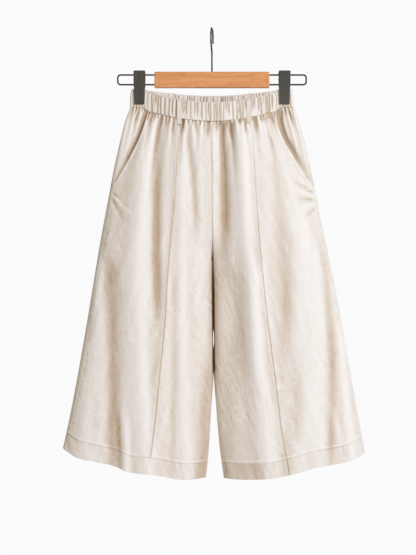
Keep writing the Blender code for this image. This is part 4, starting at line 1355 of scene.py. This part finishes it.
def make_jaw(side, face, finish):
    """Folded channel that presses on the waistband."""
    toward = FACES[face]
    middle = SIDES[side] * CLIP_PLACE
    points = []
    for drop, half, inner, edge in JAW.rows:
        outer = inner + JAW_WALL
        section = (
            (-half, outer), (half, outer), (half, edge), (half - JAW_WALL, edge),
            (half - JAW_WALL, inner), (JAW_WALL - half, inner), (JAW_WALL - half, edge), (-half, edge),
        )
        points += [(middle + x, toward * y, -drop) for x, y in section]
    faces = ring_faces(len(JAW.rows), len(points) // len(JAW.rows), toward < 0)
    node = (f"clip_{side}_{face}",)
    piece = add_piece(f"jaw_{side}_{face}", np.array(points), faces, finish, node, sharp=30.0)
    return bevelled(piece, JAW_ROUND)


def make_spring(side, steel):
    """Coil round the pin, with a leg pressed against each jaw."""
    middle = SIDES[side] * CLIP_PLACE
    leg_out, leg_up = SPRING_LEG
    route = [(middle - SPRING_HALF, -leg_out, -PIN_DROP + leg_up)]
    for t in np.linspace(0.0, 1.0, SPRING_TURNS * 20 + 1):
        angle = math.radians(150.0) + t * 2.0 * math.pi * SPRING_TURNS
        route.append((
            middle - SPRING_HALF + 2.0 * SPRING_HALF * t,
            SPRING_RADIUS * math.cos(angle),
            -PIN_DROP + SPRING_RADIUS * math.sin(angle),
        ))
    route.append((middle + SPRING_HALF, leg_out, -PIN_DROP + leg_up))
    return round_wire(f"spring_{side}", route, SPRING_WIRE, steel, sides=2)


# A pin from end to end: places and radii as shares of its half length and its radius.
PIN_STATIONS = ((-1.0, 0.5), (-0.985, 0.8), (-0.95, 1.0), (0.95, 1.0), (0.985, 0.8), (1.0, 0.5))


def make_pin(side, steel):
    """The pin that the two jaws turn on, with a round head at each end."""
    angles = np.linspace(0.0, 2.0 * math.pi, 25)[:-1]
    points = []
    for along, thick in PIN_STATIONS:
        x = SIDES[side] * CLIP_PLACE + along * (CLIP_HALF + PIN_PROUD)
        radius = PIN_RADIUS * thick
        points += [(x, radius * math.cos(angle), -PIN_DROP + radius * math.sin(angle)) for angle in angles]
    faces = ring_faces(len(PIN_STATIONS), len(angles), False)
    node = (f"clip_{side}_pin",)
    return add_piece(f"pin_{side}", np.array(points), faces, steel, node, sharp=40.0)


def make_bar(wood):
    """Wooden bar with softly rounded edges."""
    half = np.array(BAR_SIZE) / 2.0
    corners = [(x, y, z) for x in (-1, 1) for y in (-1, 1) for z in (-1, 1)]
    points = np.array(corners) * half + np.array([0.0, 0.0, -BAR_TOP - half[2]])
    faces = [[0, 1, 3, 2], [4, 6, 7, 5], [0, 4, 5, 1], [2, 3, 7, 6], [0, 2, 6, 4], [1, 5, 7, 3]]
    piece = add_piece("hanger_bar", points, faces, wood, ("bar",), sharp=40.0)
    return bevelled(piece, BAR_ROUND, 4)


# ---- Finishes ----

class Socket:
    """A node's output, so that sums of them can be written as plain expressions."""

    def __init__(self, finish, output):
        self.finish, self.output = finish, output

    def sum(self, operation, first, second):
        """The output of one more Math node."""
        return self.finish.node("ShaderNodeMath", {"operation": operation}, {0: first, 1: second})

    def __add__(self, other):
        return self.sum("ADD", self, other)

    def __sub__(self, other):
        return self.sum("SUBTRACT", self, other)

    def __rsub__(self, other):
        return self.sum("SUBTRACT", other, self)

    def __mul__(self, other):
        return self.sum("MULTIPLY", self, other)

    __radd__ = __add__
    __rmul__ = __mul__


class Finish:
    """A material with one Principled shader; fixed values go straight to its sockets."""

    def __init__(self, name, fixed):
        self.material = bpy.data.materials.new(name)
        self.material.use_nodes = True
        self.tree = self.material.node_tree
        self.shader = self.tree.nodes["Principled BSDF"]
        for socket, value in fixed.items():
            self.shader.inputs[socket].default_value = value

    def node(self, kind, settings=None, sockets=None, output=0):
        """Any node by its type, with its settings and the values or links of its sockets."""
        made = self.tree.nodes.new(kind)
        for name, value in (settings or {}).items():
            if name == "stops":
                ramp = made.color_ramp
                for place, _ in value[2:]:
                    ramp.elements.new(place)
                for element, (place, colour) in zip(ramp.elements, value):
                    element.position = place
                    element.color = (*colour, 1.0)
            else:
                setattr(made, name, value)
        for name, value in (sockets or {}).items():
            self.plug(made.inputs[name], value)
        return Socket(self, made.outputs[output])

    def plug(self, entry, value):
        """Link a node's output to a socket, or set the socket's value."""
        if isinstance(value, Socket):
            self.tree.links.new(value.output, entry)
        else:
            entry.default_value = value

    def feed(self, name, value):
        """Link or set one of the shader's sockets."""
        self.plug(self.shader.inputs[name], value)

    def place(self, stretch=(1.0, 1.0, 1.0)):
        """Where a point lies on the object, stretched along each axis."""
        at = self.node("ShaderNodeTexCoord", output="Object")
        return self.node("ShaderNodeVectorMath", {"operation": "MULTIPLY"}, {0: at, 1: stretch})

    def noise(self, stretch, scale=1.0, detail=2.0, roughness=0.5):
        """Soft noise from 0 to 1, over given places or over the object stretched along each axis."""
        at = stretch if isinstance(stretch, Socket) else self.place(stretch)
        return self.node("ShaderNodeTexNoise", None, {
            "Vector": at, "Scale": scale, "Detail": detail, "Roughness": roughness})

    def ramp(self, stops, place):
        """The colour at a place between the colours of a ramp."""
        return self.node("ShaderNodeValToRGB", {"stops": stops}, {"Fac": place}, output="Color")

    def spread(self, value, low, high, to_low=0.0, to_high=1.0):
        """A value's range from low to high, softly spread over a new range."""
        return self.node("ShaderNodeMapRange", {"interpolation_type": "SMOOTHSTEP"}, {
            "Value": value, "From Min": low, "From Max": high, "To Min": to_low, "To Max": to_high})

    def mix(self, factor, first, second):
        """Mix of two colours."""
        made = self.tree.nodes.new("ShaderNodeMix")
        made.data_type = "RGBA"
        for name, value in (("Factor_Float", factor), ("A_Color", first), ("B_Color", second)):
            entry = next(s for s in made.inputs if s.identifier == name)
            self.plug(entry, (*value, 1.0) if isinstance(value, tuple) else value)
        return Socket(self, next(s for s in made.outputs if s.identifier == "Result_Color"))

    def bumps(self, height, distance, strength=1.0):
        """Fine relief that bends the light."""
        normal = self.node("ShaderNodeBump", None, {
            "Height": height, "Distance": distance, "Strength": strength}, output="Normal")
        self.feed("Normal", normal)


# Colour of the twill by depth of painted shade, from a crest to the painted shadow of the slit between the
# legs.
TWILL_STOPS = (
    (0.0, (0.92, 0.912, 0.902)),
    (0.2, (0.875, 0.858, 0.837)),
    (0.42, (0.80, 0.746, 0.692)),
    (0.66, (0.68, 0.597, 0.515)),
    (0.96, (0.52, 0.39, 0.268)),
    (1.0, (0.23, 0.125, 0.06)),
)
SHADE_OF_CREST = 0.24
SHADE_PER_MM = 0.105


def twill(name, tint=1.0, mottle=1.0):
    """Off-white cotton twill: soft mottling, slubs both ways, and painted shade in the folds from the mesh's
    hollow attribute.
    """
    cloth = Finish(name, {"Sheen Weight": 0.08, "Sheen Roughness": 0.5, "Specular IOR Level": 0.2})
    hollow = cloth.node("ShaderNodeAttribute", {"attribute_name": "hollow"}, output="Fac")
    clouds = cloth.noise((1.0, 1.0, 0.3), 45.0, 3.0)
    streaks = cloth.noise((260.0, 260.0, 14.0))
    slubs_across = cloth.noise((90.0, 90.0, 760.0), detail=1.0)
    slubs_down = cloth.noise((620.0, 620.0, 60.0), detail=1.0)
    grain = cloth.noise((1.0, 1.0, 1.0), 900.0, 1.0)
    turned = cloth.node("ShaderNodeMapping", None, {
        "Vector": cloth.place(), "Rotation": (0.0, math.radians(-25.0), 0.0), "Scale": (190.0, 190.0, 46.0)})
    wrinkles = cloth.noise(turned, 1.0, 3.0, 0.55)
    fine = (slubs_across - 0.5) * 0.16 + (slubs_down - 0.5) * 0.16 + (grain - 0.5) * 0.10
    broad = (clouds - 0.5) * 0.10 + (streaks - 0.5) * 0.14 + (wrinkles - 0.5) * 0.13
    shade = hollow * SHADE_PER_MM + SHADE_OF_CREST + (fine + broad) * mottle
    stops = [(place, tuple(part * tint for part in colour)) for place, colour in TWILL_STOPS]
    cloth.feed("Base Color", cloth.ramp(stops, shade))
    cloth.feed("Roughness", cloth.spread(clouds, 0.3, 0.7, 0.82, 0.94))
    lines = cloth.node("ShaderNodeTexWave", {"wave_type": "BANDS", "bands_direction": "DIAGONAL"}, {
        "Vector": cloth.place((1.0, 0.2, -1.0)), "Scale": 420.0, "Distortion": 0.6, "Detail": 1.0})
    height = lines * 0.25 + slubs_across * 0.4 + slubs_down * 0.4 + grain * 0.3 + wrinkles * 1.6
    cloth.bumps(height, 0.8 * MM, 0.6)
    return cloth.material


def sewing_thread():
    """Thread in the cloth's own colour."""
    thread = Finish("sewing_thread", {"Roughness": 0.6, "Sheen Weight": 0.2, "Sheen Roughness": 0.4})
    twist = thread.noise((1500.0, 1500.0, 700.0), detail=1.0)
    thread.feed("Base Color", thread.mix(twist, (0.80, 0.73, 0.64), (0.90, 0.85, 0.78)))
    thread.bumps(twist, 0.1 * MM, 0.5)
    return thread.material


BEECH_STOPS = (
    (0.0, (0.52, 0.197, 0.070)),
    (0.35, (0.665, 0.281, 0.107)),
    (0.7, (0.755, 0.343, 0.140)),
    (1.0, (0.84, 0.412, 0.188)),
)


def beech():
    """Straight-grained beech under a satin varnish."""
    wood = Finish("beech_varnished", {"Coat Roughness": 0.22, "Specular IOR Level": 0.4})
    warp = wood.noise((9.0, 40.0, 60.0))
    at = wood.place((5.0, 120.0, 190.0))
    bent = wood.node("ShaderNodeVectorMath", {"operation": "ADD"}, {0: at, 1: warp * 5.0})
    streaks = wood.noise(bent, 1.0, 3.0, 0.55)
    fleck = wood.noise((160.0, 900.0, 1500.0), detail=1.0)
    tone = wood.spread(streaks, 0.28, 0.72, 0.2, 0.94) + (fleck - 0.5) * 0.35
    wood.feed("Base Color", wood.ramp(BEECH_STOPS, tone))
    wood.feed("Roughness", wood.spread(tone, 0.0, 1.0, 0.52, 0.40))
    wood.feed("Coat Weight", wood.spread(streaks, 0.3, 0.7, 0.2, 0.35))
    wood.bumps(tone, 0.12 * MM, 0.5)
    return wood.material


def powder_coat():
    """Matte dark grey coating with a fine orange-peel and dusty patches."""
    coat = Finish("dark_powder_coat", {"Specular IOR Level": 0.45})
    peel = coat.noise((1.0, 1.0, 1.0), 1500.0)
    dust = coat.noise((1.0, 1.0, 0.5), 120.0, 3.0)
    dusty = coat.spread(dust, 0.3, 0.75)
    coat.feed("Base Color", coat.mix(dusty, (0.050, 0.0465, 0.0425), (0.068, 0.0635, 0.0585)))
    coat.feed("Roughness", coat.spread(dust, 0.3, 0.7, 0.5, 0.64))
    coat.bumps(peel, 0.08 * MM, 0.6)
    return coat.material


def brown_lacquer():
    """Dark brown lacquer with a faint flow along the wire."""
    fixed = {"Coat Weight": 0.05, "Coat Roughness": 0.3, "Specular IOR Level": 0.15}
    lacquer = Finish("brown_lacquered_wire", fixed)
    flow = lacquer.noise((60.0, 300.0, 300.0))
    lacquer.feed("Base Color", lacquer.mix(flow, (0.012, 0.0085, 0.007), (0.022, 0.016, 0.0135)))
    lacquer.feed("Roughness", lacquer.spread(flow, 0.3, 0.7, 0.40, 0.55))
    lacquer.bumps(flow, 0.02 * MM, 0.15)
    return lacquer.material


def wire_steel(name, dark, bright):
    """Drawn steel wire with faint lines and dull patches."""
    steel = Finish(name, {"Metallic": 1.0})
    lines = steel.noise((900.0, 900.0, 60.0))
    patches = steel.noise((1.0, 1.0, 1.0), 140.0)
    steel.feed("Base Color", steel.mix(steel.spread(patches, 0.35, 0.7), dark, bright))
    steel.feed("Roughness", steel.spread(lines, 0.3, 0.7, 0.46, 0.56))
    steel.bumps(lines, 0.02 * MM, 0.15)
    return steel.material


# ---- Stage ----

FLOOR_DROP = 1.75
FLOOR_RADIUS = 2.2
CAMERA_AWAY = 3.2
PICTURE_HEIGHT = 1.110
CAMERA_AT = (-0.008, -0.497)
GARMENT_MIDDLE = (0.0, 0.0, -0.5)
WARM = (1.0, 0.85, 0.66)
COOL = (0.972, 0.985, 1.028)


def make_stage():
    """Pale round floor well below the hems, out of the main view."""
    angles = np.linspace(0, 2 * math.pi, 97)[:-1]
    ring = [(FLOOR_RADIUS * math.cos(a), FLOOR_RADIUS * math.sin(a), -FLOOR_DROP) for a in angles]
    mesh = bpy.data.meshes.new("floor")
    mesh.from_pydata(ring, [], [list(range(len(ring)))])
    floor = bpy.data.objects.new("floor", mesh)
    pale = Finish("pale_floor", {"Roughness": 0.9, "Base Color": (0.86, 0.86, 0.865, 1.0)})
    mesh.materials.append(pale.material)
    bpy.context.collection.objects.link(floor)


def make_world():
    """White surround to look at, dim and warm as a light."""
    world = bpy.data.worlds.new("white_surround")
    bpy.context.scene.world = world
    world.use_nodes = True
    nodes, links = world.node_tree.nodes, world.node_tree.links
    nodes.clear()
    out = nodes.new("ShaderNodeOutputWorld")
    mixed = nodes.new("ShaderNodeMixShader")
    seen = nodes.new("ShaderNodeLightPath")
    soft = nodes.new("ShaderNodeBackground")
    white = nodes.new("ShaderNodeBackground")
    soft.inputs["Color"].default_value = (*WARM, 1.0)
    soft.inputs["Strength"].default_value = 0.27
    white.inputs["Color"].default_value = (0.962, 0.962, 0.972, 1.0)
    links.new(seen.outputs["Is Camera Ray"], mixed.inputs["Fac"])
    links.new(soft.outputs[0], mixed.inputs[1])
    links.new(white.outputs[0], mixed.inputs[2])
    links.new(mixed.outputs[0], out.inputs["Surface"])


def area_light(name, place, size, power, colour=(1.0, 1.0, 1.0)):
    """A rectangular lamp that faces the middle of the garment."""
    light = bpy.data.lights.new(name, "AREA")
    light.shape = "RECTANGLE"
    light.size, light.size_y = size
    light.energy = power
    light.color = colour
    lamp = bpy.data.objects.new(name, light)
    lamp.location = place
    lamp.rotation_euler = (Vector(GARMENT_MIDDLE) - Vector(place)).to_track_quat("-Z", "Y").to_euler()
    bpy.context.collection.objects.link(lamp)


def make_lights():
    """A cool key from the front right, a warm fill from the left and a light from behind."""
    area_light("key", (1.95, -2.95, 0.7), (0.8, 1.2), 97.0, COOL)
    area_light("fill", (-2.6, -2.0, -0.2), (1.6, 1.8), 13.0, WARM)
    area_light("back", (2.0, 2.7, 0.6), (1.0, 1.3), 62.0)


def make_camera():
    """Level view from the front."""
    camera = bpy.data.cameras.new("camera")
    camera.lens = camera.sensor_width * CAMERA_AWAY / PICTURE_HEIGHT
    holder = bpy.data.objects.new("camera", camera)
    holder.location = (CAMERA_AT[0], -CAMERA_AWAY, CAMERA_AT[1])
    holder.rotation_euler = (math.radians(90.0), 0.0, 0.0)
    bpy.context.collection.objects.link(holder)
    bpy.context.scene.camera = holder


def make_garment():
    """Panels, waistband and belt loops with their stitching."""
    panel_cloth = twill("cotton_twill")
    casing_cloth = twill("cotton_twill_casing", 0.985, 0.7)
    loop_cloth = twill("cotton_twill_loop", 0.965, 0.9)
    thread = sewing_thread()

    panels = {}
    for side in SIDES:
        for face in FACES:
            panels[face, side] = make_panel(side, face, panel_cloth)
            panels[face, side, "sewn"] = sew_panel(side, face, thread)
        panels["hip", side] = make_hip(side, panel_cloth)
    band = make_waistband(casing_cloth)
    loops = []
    for face, places in BELT_LOOPS.items():
        for side, x in zip(SIDES, places):
            loops += [make_loop(side, face, x, loop_cloth), sew_loop(side, face, x, thread)]
    return panels, band, loops


def make_hanger():
    """Wooden bar, wire loop, two clips and the hook."""
    dull_steel = wire_steel("hook_steel", (0.115, 0.111, 0.107), (0.155, 0.150, 0.145))
    bright_steel = wire_steel("pin_steel", (0.42, 0.41, 0.40), (0.62, 0.61, 0.60))
    coat, lacquer = powder_coat(), brown_lacquer()

    make_bar(beech())
    for side, direction in SIDES.items():
        route = wire_route(direction)
        round_wire(f"wire_loop_{side}", route, WIRE_RADIUS, lacquer, (f"wire_{side}",))
        for face in FACES:
            make_jaw(side, face, coat)
        make_pin(side, bright_steel)
        make_spring(side, bright_steel)
    round_wire("hanger_hook", hook_route(), HOOK_WIRE, dull_steel, ("hook",), sides=7)


def main():
    """Stage and light, then all the pieces."""
    bpy.context.scene.view_settings.view_transform = "Standard"
    make_camera()
    make_world()
    make_stage()
    make_lights()
    panels, band, loops = make_garment()
    make_hanger()


main()
